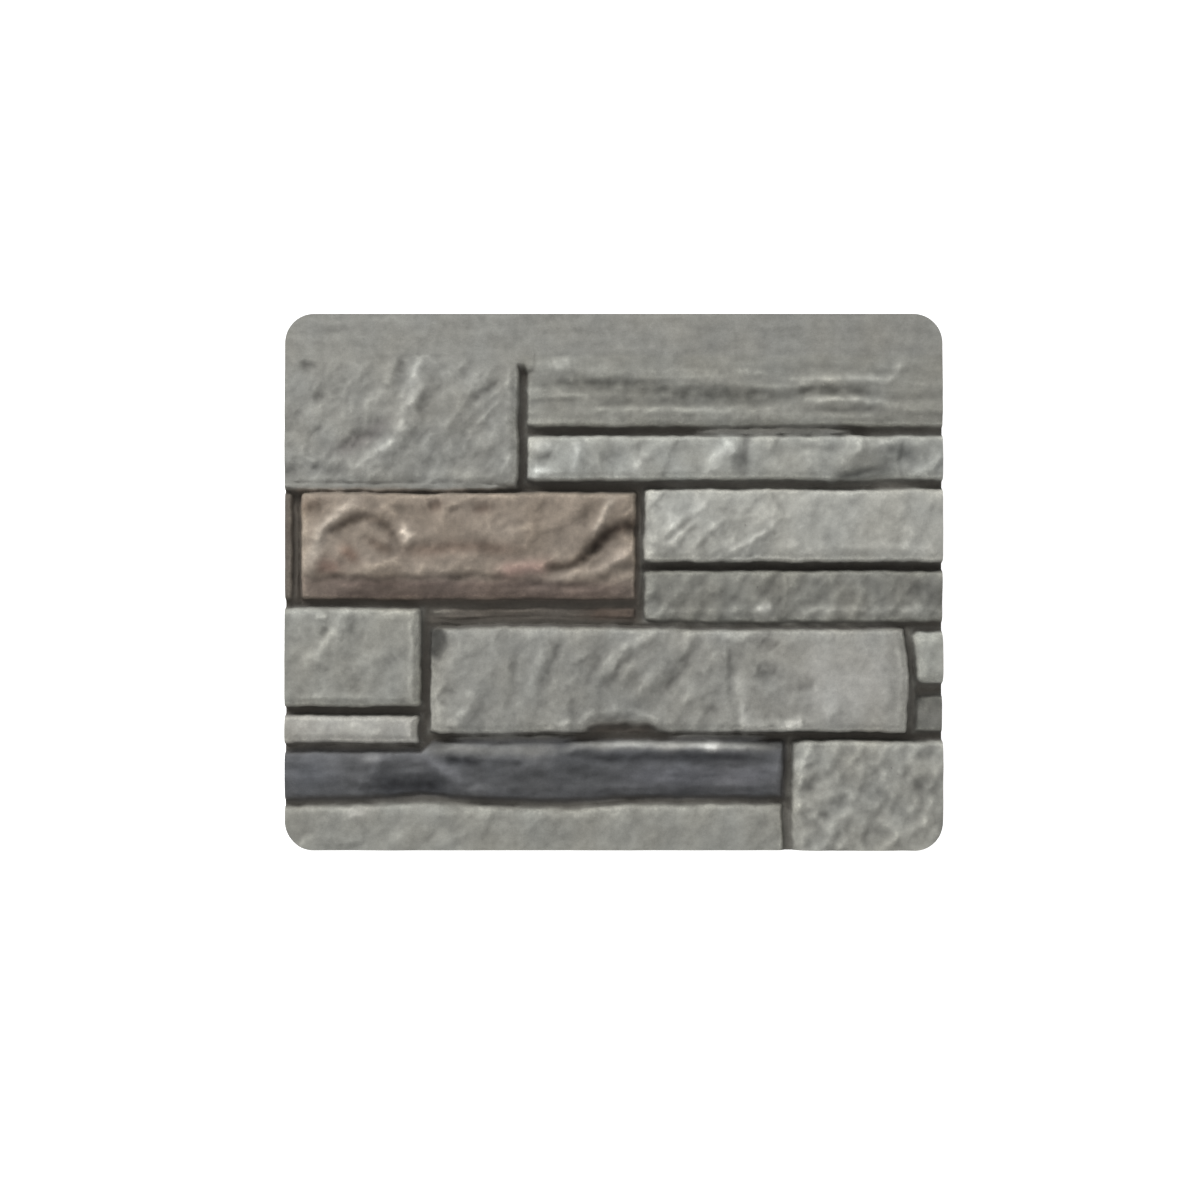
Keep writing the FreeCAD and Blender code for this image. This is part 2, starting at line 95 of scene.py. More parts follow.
# Lines between the stones, from the lower left corner of the panel
DARK_LINE = 28.6
LONG_LINE = 70.2
SHELF_LINE = 139.6
BLOCK_LINE = 175.4
STRIP_LINE = 225.6
SLATE_LINE = 258.6
LEDGE_LINE = 305.5
LEFT_STRIP_LINE = 63.2
LEFT_BLOCK_LINE = 86.0
BROWN_LINE = 152.0
TALL_LINE = 222.9
RIGHT_BLOCK_LINE = 99.2
TALL_END = 145.8
BROWN_START = 6.5
BROWN_END = 219.2
LEFT_BLOCK_END = 87.6
RIGHT_BLOCK_START = LENGTH - 20.5
CORNER_START = LENGTH - 95.5

# How far the joint under the dark slate leaves its line: place along it and shift
DARK_WAVE = ((0, 0.6), (37, 1.2), (55, 2.0), (70, 3.0), (84, 3.2), (93, 2.6), (119, 0.2), (141, -1.2),
             (171, -1.4), (206, 1.4), (263, 1.8), (302, 2.0))

# Places where the edge of a stone leaves its straight line, by how much and how far around that is felt
Pull = namedtuple("Pull", "name right up spot reach_across reach_up")
PULLS = [
    Pull("long_stone_right_end", 2.6, 0, (906, 686), 14, 20),
    Pull("long_stone_left_end", -2.2, 0, (433, 684), 5, 38),
    Pull("tall_stone_end", 1.6, 0, (521, 425), 8, 40),
    Pull("brown_stone_start", 1.3, 0, (293, 545), 6, 34),
    Pull("shelf_foot", 0, -1.8, (775, 624), 90, 6),
    Pull("long_stone_foot", 0, -1.2, (500, 737), 45, 6),
    Pull("left_strip_end", -2.4, 0, (420, 730), 5, 7),
    Pull("base_stone_middle", 0, 1.3, (530, 804), 46, 9),
]

# The areas of the stones, between those lines. At the panel's edge they go on past it.
PAST = 9.0
Area = namedtuple("Area", "left right bottom top")
AREAS = {
    "ledge": Area(-PAST, LENGTH + PAST, LEDGE_LINE, HEIGHT + PAST),
    "tall_stone": Area(-PAST, TALL_END, TALL_LINE, LEDGE_LINE),
    "slate": Area(TALL_END, LENGTH + PAST, SLATE_LINE, LEDGE_LINE),
    "upper_strip": Area(TALL_END, LENGTH + PAST, STRIP_LINE, SLATE_LINE),
    "end_sliver": Area(-PAST, BROWN_START, BROWN_LINE, TALL_LINE),
    "brown_stone": Area(BROWN_START, BROWN_END, BROWN_LINE, TALL_LINE),
    "block": Area(BROWN_END, LENGTH + PAST, BLOCK_LINE, STRIP_LINE),
    "shelf": Area(BROWN_END, LENGTH + PAST, SHELF_LINE, BLOCK_LINE),
    "recess_sliver": Area(LEFT_BLOCK_END, BROWN_END, SHELF_LINE, BROWN_LINE),
    "left_block": Area(-PAST, LEFT_BLOCK_END, LEFT_BLOCK_LINE, BROWN_LINE),
    "left_strip": Area(-PAST, LEFT_BLOCK_END, LEFT_STRIP_LINE, LEFT_BLOCK_LINE),
    "long_stone": Area(LEFT_BLOCK_END, RIGHT_BLOCK_START, LONG_LINE, SHELF_LINE),
    "right_block": Area(RIGHT_BLOCK_START, LENGTH + PAST, RIGHT_BLOCK_LINE, SHELF_LINE),
    "right_recess": Area(RIGHT_BLOCK_START, LENGTH + PAST, LONG_LINE, RIGHT_BLOCK_LINE),
    "dark_slate": Area(-PAST, CORNER_START, DARK_LINE, LONG_LINE),
    "base_stone": Area(-PAST, CORNER_START, -PAST, DARK_LINE),
    "corner_stone": Area(CORNER_START, LENGTH + PAST, -PAST, LONG_LINE),
}
NAMES = list(AREAS)

# The top of the dark slate steps up here, from the line of the left strip to that of the long stone
SLATE_STEP = (LEFT_BLOCK_END - 3, LEFT_BLOCK_END + 4.7)

# Stones that run into the ledge with no joint, and how far the two overlap
UNDER_LEDGE = ("tall_stone", "slate")
LEDGE_MERGE = 5.0

# The edges of the stones wander from this far inside the panel's edge, and the marks by this much
WANDER_START = 8
MARK_WANDER = 0.9

# Distances from the middle of a joint over which the hewing and the marks set in
FACE_START = (1.4, 4.2)
MARK_START = (0.8, 3.2)

# How the cast face differs from the CAD one: the blurs of edges, faces and relief, the rounded-down
# shoulders of the stones, the lower long stone and the roughness of the casting
EDGE_SOFTNESS = 0.8
FACE_SOFTNESS = 2.6
RELIEF_SOFTNESS = 0.55
SHOULDER_WEAR = 3.4
LONG_STONE_DROP = 0.8
CAST_ROUGHNESS = 0.07

# The face bends off below the top of the CAD model, so that no relief passes it
CEILING_GAP = 0.3
CEILING_KNEE = 1.0

# Rays on the CAD node keep this far inside its outline
RAY_INSET = 0.05

# Grids behind the noise and the facets
CELLS = 64
NOISE_GAIN = 1.5
FACET_SHIFT = 500
FACET_SHARPNESS = 9

# How each stone is hewn: kind, strength, size of its lumps, their angle in degrees and a seed
Hewn = namedtuple("Hewn", "kind strength size turn seed")
TEXTURES = {
    "ledge": Hewn("plain", 1.0, 7, 0, 700),
    "tall_stone": Hewn("split", 0.95, 12, 48, 210),
    "slate": Hewn("layers", 1.0, 8, 0, 310),
    "upper_strip": Hewn("strip", 0.6, 14, 80, 510),
    "end_sliver": Hewn("split", 0.4, 8, 60, 220),
    "brown_stone": Hewn("split", 0.85, 13, 35, 230),
    "block": Hewn("split", 0.95, 11, 50, 240),
    "shelf": Hewn("bumps", 1.1, 10, 50, 410),
    "recess_sliver": Hewn("layers", 0.8, 5, 0, 320),
    "left_block": Hewn("split", 0.65, 14, 50, 250),
    "left_strip": Hewn("strip", 0.28, 10, 80, 520),
    "long_stone": Hewn("split", 0.75, 13, 62, 263),
    "right_block": Hewn("bumps", 0.4, 8, 60, 420),
    "right_recess": Hewn("bumps", 0.4, 8, 60, 430),
    "dark_slate": Hewn("slate", 1.0, 14, 5, 610),
    "base_stone": Hewn("split", 0.6, 15, 45, 270),
    "corner_stone": Hewn("bumps", 1.6, 11.5, 66, 440),
}

# Stones that grow calmer to the right: the share of their hewing that goes, and from where to where
CALM_ENDS = {
    "long_stone": (0.55, 82, 118),
    "block": (0.5, 84, 112),
}

# A mark on the face. A height above 0 is a ridge or boss along the points, under 0 a groove or hollow. width
# is its half width. fade is the half width on the other side, to the right of the way that the points run.
Mark = namedtuple("Mark", "name height width points fade", defaults=(None,))

MARKS = {
    "tall_stone": [
        Mark("split_ridge", 1.8, 7.0,
             [(418, 372), (410, 390), (405, 418), (394, 438), (378, 454), (350, 474)]),
        Mark("ridge_head", 1.3, 4.0, [(424, 350), (418, 364), (412, 380)]),
        Mark("hollow_by_ridge", -2.0, 5.0, [(388, 420), (368, 436), (336, 453)]),
        Mark("upper_left_hollow", -1.5, 4.6, [(348, 378), (330, 392), (312, 400)]),
        Mark("top_pit", -1.3, 3.2, [(404, 360), (401, 374)]),
        Mark("small_boss", 1.5, 3.4, [(392, 374), (386, 386)]),
        Mark("left_boss", 1.3, 5.0, [(362, 404), (340, 420)]),
        Mark("right_of_ridge", -1.3, 4.6, [(440, 384), (424, 402), (420, 426)]),
        Mark("right_groove", -1.5, 3.6, [(502, 380), (484, 392), (472, 402)]),
        Mark("right_ridge", 1.2, 4.0, [(494, 370), (470, 382), (456, 398)]),
        Mark("lower_right_groove", -1.0, 4.4, [(500, 414), (480, 428), (452, 440)]),
        Mark("lower_right_ridge", 0.9, 4.4, [(490, 402), (462, 414), (440, 430)]),
        Mark("left_top_pit", -1.2, 3.6, [(300, 366), (320, 366)]),
        Mark("foot_groove", -1.7, 3.4, [(282, 475), (310, 469), (345, 472)]),
        Mark("left_light", 1.1, 6.0, [(330, 446), (300, 458), (282, 462)]),
        Mark("foot_band", 0.8, 4.6, [(380, 476), (430, 473), (500, 476)]),
        Mark("right_rim", 0.8, 3.0, [(508, 372), (509, 420), (508, 476)]),
    ],
    "slate": [
        Mark("long_recess", -1.8, 5.4, [(532, 384), (580, 384), (640, 388), (700, 394), (800, 397)], 4.4),
        Mark("upper_lip", 1.0, 3.4, [(560, 372), (640, 373), (700, 372), (780, 374)]),
        Mark("lower_lip", 1.1, 3.0, [(560, 410), (640, 410), (760, 412), (800, 412)]),
        Mark("lower_recess", -1.0, 2.6, [(600, 403), (660, 404), (760, 405)]),
        Mark("bright_lip", 1.3, 3.0,
             [(786, 382), (830, 380), (860, 378), (884, 382), (897, 372), (906, 356)]),
        Mark("under_lip", -1.6, 2.8, [(796, 391), (830, 391), (876, 392)]),
        Mark("second_lip", 1.4, 2.6, [(806, 402), (850, 400), (896, 404)]),
        Mark("second_groove", -0.9, 2.2, [(820, 411), (884, 411)]),
        Mark("left_lens", 1.2, 3.0, [(552, 398), (572, 394), (594, 404)]),
        Mark("foot_lip", 0.8, 3.0, [(540, 420), (700, 419), (880, 419)]),
        Mark("top_boss", 1.2, 4.0, [(552, 366), (572, 360)]),
    ],
    "upper_strip": [
        Mark("end_top_boss", 1.2, 3.4, [(532, 445), (554, 446)]),
        Mark("end_pit", -1.3, 3.2, [(536, 459), (558, 458)]),
        Mark("end_foot_boss", 1.3, 3.2, [(532, 473), (554, 472)]),
        Mark("first_rib", 1.3, 4.2, [(579, 438), (575, 476)]),
        Mark("shallow_pan", -0.8, 7.0, [(598, 460), (618, 458)]),
        Mark("second_rib", 1.6, 3.8, [(648, 452), (636, 464), (630, 476)]),
        Mark("second_pit", -1.1, 3.6, [(630, 446), (642, 448)]),
        Mark("middle_pan", -0.9, 4.2, [(662, 450), (694, 449)]),
        Mark("broad_facet", 1.9, 6.5, [(734, 438), (716, 458), (704, 476)], 4.0),
        Mark("split_line", -1.1, 3.0, [(750, 436), (745, 458), (741, 480)]),
        Mark("right_light", 1.0, 5.0, [(770, 466), (812, 458)]),
        Mark("right_pan", -1.2, 3.4, [(800, 446), (842, 448)]),
        Mark("third_rib", 1.5, 3.2, [(860, 438), (857, 452), (838, 462)]),
        Mark("right_boss", 1.1, 3.0, [(876, 441), (896, 443)]),
        Mark("right_pit", -1.3, 6.0, [(886, 449), (908, 457), (922, 456)]),
        Mark("end_arc", 1.4, 3.4, [(942, 452), (932, 466), (914, 476)]),
    ],
    "brown_stone": [
        Mark("outer_arc", 2.3, 4.2, [(358, 500), (344, 513), (326, 526), (314, 545), (309, 570)]),
        Mark("inner_arc_groove", -2.0, 3.2,
             [(318, 546), (332, 531), (352, 521), (372, 519), (388, 529), (398, 546)], 4.4),
        Mark("arc_crown", 1.3, 3.4, [(360, 509), (382, 509), (400, 520), (410, 534)]),
        Mark("bright_boss", 2.0, 4.0, [(402, 529), (411, 542)]),
        Mark("inner_groove", -1.3, 3.4, [(368, 541), (394, 553)]),
        Mark("inner_boss", 1.0, 4.6, [(326, 550), (352, 548)]),
        Mark("lower_light", 1.1, 3.4, [(362, 568), (404, 560)]),
        Mark("left_rim", 1.0, 2.8, [(306, 520), (305, 566)]),
        Mark("long_hollow", -1.3, 4.2, [(406, 551), (450, 546), (505, 549)]),
        Mark("top_left_hollow", -0.9, 3.6, [(308, 510), (322, 506)]),
        Mark("pit_one", -1.7, 3.4, [(428, 507), (442, 503)]),
        Mark("pit_two", -1.1, 2.8, [(450, 512), (460, 510)]),
        Mark("pit_three", -1.4, 3.2, [(472, 511), (490, 507)]),
        Mark("top_light", 0.9, 3.0, [(456, 498), (514, 495)]),
        Mark("wide_boss", 1.0, 12.0, [(480, 526), (560, 522)]),
        Mark("right_ridge", 1.9, 2.8, [(612, 498), (603, 514), (594, 534)]),
        Mark("right_groove", -1.3, 3.6, [(592, 506), (582, 528)]),
        Mark("crescent_tail", -2.2, 3.0, [(544, 571), (572, 566), (590, 555), (602, 541)], 4.6),
        Mark("crescent", -3.2, 5.2, [(586, 556), (602, 541), (616, 530), (644, 524)], 6.6),
        Mark("crescent_lip", 1.3, 3.8, [(556, 579), (598, 571), (620, 558), (636, 545)]),
        Mark("corner_groove", -0.9, 3.6, [(638, 562), (620, 573), (600, 582)]),
        Mark("ledge_line", -1.5, 2.6, [(300, 578), (380, 579), (480, 577), (540, 583)]),
        Mark("lens_light", 1.0, 3.4, [(490, 570), (530, 566), (552, 574)]),
        Mark("ledge_streak", 0.9, 2.2, [(530, 594), (604, 591)]),
        Mark("ledge_groove", -0.7, 1.8, [(500, 586), (600, 584)]),
    ],
    "block": [
        Mark("left_pit", -0.9, 2.6, [(656, 504), (660, 512)]),
        Mark("corner_pit", -0.9, 2.4, [(652, 546), (660, 550)]),
        Mark("first_ridge", 1.1, 2.8, [(712, 497), (696, 511), (678, 523), (662, 536)]),
        Mark("first_groove", -1.2, 2.6, [(700, 524), (688, 535), (680, 550)]),
        Mark("second_ridge", 1.2, 3.0, [(722, 522), (704, 536), (692, 552)]),
        Mark("third_ridge", 1.2, 2.2, [(776, 527), (752, 539), (730, 552)]),
        Mark("third_groove", -0.9, 2.8, [(782, 540), (764, 549), (744, 558)]),
        Mark("foot_band", 0.8, 3.4, [(778, 548), (850, 547), (930, 546)]),
        Mark("right_boss", 0.7, 4.0, [(908, 534), (922, 530)]),
    ],
    "shelf": [
        Mark("bright_boss", 1.7, 2.8, [(756, 611), (774, 608)]),
        Mark("boss_pit", -1.0, 3.0, [(764, 594), (774, 588)]),
        Mark("upright_step", 0.9, 1.6, [(784, 574), (785, 596), (783, 608)]),
        Mark("foot_band_left", 0.9, 2.6, [(660, 612), (750, 611)]),
        Mark("foot_band_right", 0.9, 2.6, [(800, 610), (940, 610)]),
        Mark("right_pan", -1.2, 5.0, [(906, 588), (938, 592)]),
        Mark("left_pan", -0.8, 4.0, [(652, 598), (664, 604)]),
    ],
    "recess_sliver": [
        Mark("left_light", 0.8, 1.6, [(420, 611), (452, 610)]),
    ],
    "left_block": [
        Mark("split_ridge", 1.6, 4.8, [(350, 610), (338, 628), (331, 642), (318, 654), (300, 667)]),
        Mark("right_hollow", -1.6, 5.0, [(348, 634), (366, 636)]),
        Mark("top_spot", 1.3, 3.0, [(316, 615), (328, 618)]),
        Mark("top_pit", -1.4, 3.0, [(326, 626), (320, 636)]),
        Mark("left_pan", -0.9, 5.0, [(290, 642), (302, 634)]),
        Mark("middle_boss", 0.9, 8.0, [(376, 662), (352, 674)]),
        Mark("lower_pit", -1.0, 4.4, [(350, 686), (362, 694)]),
        Mark("right_pit", -0.9, 4.4, [(386, 664), (396, 656)]),
        Mark("right_rim", 0.9, 2.6, [(411, 618), (412, 660), (410, 698)]),
        Mark("foot_rim", 0.7, 2.6, [(290, 697), (400, 698)]),
    ],
    "left_strip": [
        Mark("first_boss", 0.6, 3.6, [(344, 728), (356, 726)]),
        Mark("second_boss", 0.7, 3.0, [(370, 732), (382, 730)]),
        Mark("end_rim", 0.7, 2.0, [(410, 721), (411, 738)]),
    ],
    "long_stone": [
        Mark("chip_rim", 1.0, 4.6, [(458, 630), (458, 646), (444, 672)]),
        Mark("left_ridge", 2.0, 4.4, [(474, 690), (464, 708), (450, 728)]),
        Mark("left_groove", -1.4, 3.8, [(452, 688), (442, 706)]),
        Mark("hair_groove", -1.2, 2.4, [(515, 660), (515, 692)]),
        Mark("streak_one", 1.1, 4.0, [(546, 640), (536, 668), (524, 704)]),
        Mark("groove_one", -1.5, 4.0, [(562, 640), (552, 664), (545, 690)]),
        Mark("streak_two", 1.3, 4.0, [(590, 650), (574, 674), (564, 704)]),
        Mark("foot_boss", 1.6, 3.8, [(556, 728), (576, 724)]),
        Mark("groove_two", -1.2, 3.6, [(606, 644), (596, 664), (586, 690)]),
        Mark("bright_streak", 1.7, 4.2, [(650, 636), (624, 650), (606, 672)]),
        Mark("groove_three", -1.6, 4.2, [(640, 652), (622, 664), (610, 684)]),
        Mark("streak_three", 1.3, 3.8, [(668, 664), (646, 684), (630, 704)]),
        Mark("spot_pit", -1.4, 3.4, [(660, 674), (674, 660)]),
        Mark("groove_four", -1.4, 4.0, [(702, 636), (688, 662), (664, 694)]),
        Mark("streak_four", 1.3, 3.6, [(716, 652), (700, 684), (684, 708)]),
        Mark("upper_pit", -1.2, 3.4, [(696, 680), (704, 676)]),
        Mark("lower_pit", -0.9, 4.0, [(704, 712), (714, 704)]),
        Mark("crease", -1.3, 2.4, [(729, 640), (732, 670), (731, 704)]),
        Mark("light_strip", 1.8, 3.4, [(741, 686), (743, 708), (745, 730)]),
        Mark("round_pit", -1.7, 6.0, [(764, 638), (776, 648)]),
        Mark("ring_light", 0.9, 3.0, [(752, 682), (770, 690), (786, 682)]),
        Mark("second_round_pit", -1.4, 6.0, [(756, 668), (776, 676)]),
        Mark("third_round_pit", -1.3, 6.0, [(796, 686), (814, 682)]),
        Mark("foot_light", 1.4, 3.6, [(752, 726), (784, 726)]),
        Mark("foot_boss_right", 2.2, 4.0, [(784, 727), (804, 722)]),
        Mark("right_boss", 1.2, 4.6, [(822, 714), (840, 706)]),
        Mark("end_rim", 0.7, 3.0, [(896, 640), (903, 680), (900, 722)]),
        Mark("top_notch", -2.4, 2.8, [(680, 620), (680, 634)]),
        Mark("chip_lip", 1.1, 2.8, [(576, 722), (598, 713), (632, 712), (658, 722)]),
    ],
    "right_block": [
        Mark("boss", 0.7, 4.0, [(926, 662), (930, 668)]),
    ],
    "dark_slate": [
        Mark("left_facet_edge", 1.2, 5.0, [(392, 754), (376, 768), (362, 784), (352, 798)], 3.0),
        Mark("facet_light", 1.1, 2.6, [(378, 760), (394, 755)]),
        Mark("dark_bowl", -2.4, 7.0, [(386, 784), (440, 788)]),
        Mark("wedge_ridge", 1.4, 5.6, [(412, 748), (436, 764), (454, 776), (470, 788)], 4.6),
        Mark("notch_one", -2.2, 3.0, [(444, 760), (478, 763)]),
        Mark("notch_two", -1.4, 2.2, [(494, 763), (522, 765)]),
        Mark("small_light", 1.0, 2.0, [(522, 767), (540, 763)]),
        Mark("ledge_end", 1.2, 2.8, [(536, 757), (560, 754), (584, 746)]),
        Mark("top_rim", 1.0, 2.4, [(582, 746), (680, 746), (776, 747)]),
        Mark("under_rim", -1.2, 3.0, [(590, 759), (680, 758), (772, 758)]),
        Mark("rim_spot", 1.4, 2.6, [(706, 747), (718, 746)]),
        Mark("bowl_right", -1.1, 5.0, [(566, 772), (590, 776)]),
        Mark("foot_hollow", -0.9, 3.0, [(560, 794), (640, 792), (776, 794)]),
        Mark("end_rim", 0.8, 2.2, [(778, 752), (778, 790)]),
    ],
    "base_stone": [
        Mark("light_patch", 1.1, 3.2, [(348, 815), (370, 811)]),
        Mark("left_pit", -0.9, 3.0, [(302, 832), (308, 838)]),
        Mark("top_band", 0.6, 3.0, [(400, 812), (470, 814), (560, 816), (700, 812)]),
        Mark("right_pit", -0.7, 3.4, [(758, 828), (770, 822)]),
        Mark("streak", 0.6, 3.0, [(470, 830), (440, 846)]),
        Mark("dark_streak", -0.6, 3.0, [(440, 832), (424, 842)]),
    ],
    "corner_stone": [
        Mark("left_rim", 0.8, 2.6, [(800, 752), (799, 790), (798, 840)]),
        Mark("pit_one", -1.0, 3.0, [(872, 764), (874, 776)]),
        Mark("pit_two", -0.9, 3.0, [(848, 762), (850, 772)]),
        Mark("pit_three", -0.8, 2.8, [(808, 764), (812, 770)]),
        Mark("pit_four", -0.8, 2.6, [(808, 788), (814, 792)]),
        Mark("pit_five", -0.8, 2.6, [(820, 816), (826, 814)]),
        Mark("pit_six", -1.1, 3.2, [(912, 794), (930, 782)]),
        Mark("boss_one", 0.8, 3.2, [(884, 786), (890, 790)]),
        Mark("boss_two", 0.7, 3.0, [(808, 808), (814, 804)]),
        Mark("boss_three", 0.7, 3.0, [(846, 790), (852, 796)]),
        Mark("corner_pit", -0.7, 4.0, [(904, 820), (916, 826)]),
    ],
}

# Joints that are nearly closed: how high the groove is filled, the half width and the points of the fill. A
# groove filled by FULL_FILL counts as closed.
Fill = namedtuple("Fill", "name level width points")
FULL_FILL = 9
FILLS = [
    Fill("beside_tall_stone", 15.6, 3.6, [(523, 376), (522, 484)]),
    Fill("under_tall_stone", 23.2, 3.4, [(264, 486), (400, 487), (514, 486)]),
    Fill("above_strip", 19.0, 3.6, [(700, 432), (780, 431), (850, 432)]),
    Fill("above_strip_end", 16.4, 3.6, [(870, 432), (950, 432)]),
    Fill("under_strip", 16.4, 3.6, [(650, 484), (950, 484)]),
    Fill("beside_brown_end", 17.0, 3.6, [(638, 500), (638, 600)]),
    Fill("under_long_stone", 19.5, 4.0, [(452, 740), (510, 740), (572, 740)]),
    Fill("under_long_stone_right", 19.4, 3.4, [(672, 738), (764, 738)]),
    Fill("under_left_strip", 17.2, 3.6, [(280, 749), (424, 749)]),
    Fill("beside_corner_stone", 17.6, 7.0, [(786, 808), (786, 870)]),
    Fill("beside_dark_slate", 17.2, 3.6, [(787, 742), (787, 800)]),
    Fill("beside_right_block", 17.6, 3.6, [(909, 630), (912, 730)]),
    Fill("under_slate_left", 17.2, 3.2,
         [(262, 803), (325, 802), (380, 801), (430, 799), (465, 801), (500, 801), (535, 804), (570, 805),
          (605, 803), (640, 801)]),
    Fill("under_slate_right", 16.8, 3.2, [(630, 801), (675, 801), (710, 800), (745, 801), (780, 802)]),
    Fill("above_long_stone", 17.8, 3.8, [(640, 624), (770, 625), (900, 624)]),
    Fill("under_sliver", 16.0, 3.4, [(430, 621), (640, 621)]),
    Fill("beside_brown_stone", 17.2, 3.6, [(294, 500), (293, 604)]),
]

# Chips broken out of the edge of a stone, down to a level
CHIPS = [
    Fill("long_stone_end", 17.0, 6.8, [(430, 624), (436, 642), (429, 660)]),
    Fill("long_stone_foot", 15.0, 4.4, [(584, 737), (602, 731), (642, 731), (668, 738)]),
    Fill("strip_foot", 21.5, 4.0, [(838, 481), (872, 473), (898, 475)]),
]

# Painted shade in the joints that are darker than the rest, by what share it takes from their colour
Shade = namedtuple("Shade", "name strength width points")
PAINTED_JOINT_SHADES = [
    Shade("under_block", 0.45, 2.6, [(600, 567), (980, 567)]),
]

# Paint: the overall tone of each stone, 0 to 255
TONES = {
    "ledge": (139, 139, 134),
    "tall_stone": (138, 138, 133),
    "slate": (136, 136, 130),
    "upper_strip": (151, 152, 147),
    # The end sliver is painted the dark brown of the shadow beside the brown stone
    "end_sliver": (106, 100, 93),
    "brown_stone": (137, 127, 116),
    "block": (164, 164, 158),
    "shelf": (127, 127, 121),
    "recess_sliver": (87, 82, 76),
    "left_block": (144, 144, 138),
    "left_strip": (155, 154, 149),
    "long_stone": (144, 144, 139),
    "right_block": (153, 154, 148),
    "right_recess": (114, 114, 109),
    "dark_slate": (88, 89, 91),
    "base_stone": (144, 144, 138),
    "corner_stone": (149, 149, 143),
}
# The joints' tone: dark joint paint with painted shade in it
JOINT_PAINT_AND_SHADE_TONE = (80, 76, 70)
SIDE_TONE = (130, 128, 122)

# How far the joint's tone, dark paint and painted shade, covers the paint, how soft the edges of the paint
# are, and how a warm patch shifts red, green and blue
JOINT_COVER = 0.96
PAINT_SOFTNESS = 0.8
WARMTH = (1.0, 0.1, -1.2)

# How much the paint follows the relief, overall, on high spots and in hollows: painted light on what stands
# high and painted shade in hollows. On high spots it is also dry-brushed paint, in hollows also a dark wash.
RELIEF_LIGHT_AND_SHADE = 0.13
HIGH_BRUSH_AND_HIGHLIGHT = 0.22
HOLLOW_WASH_AND_SHADE = 0.40
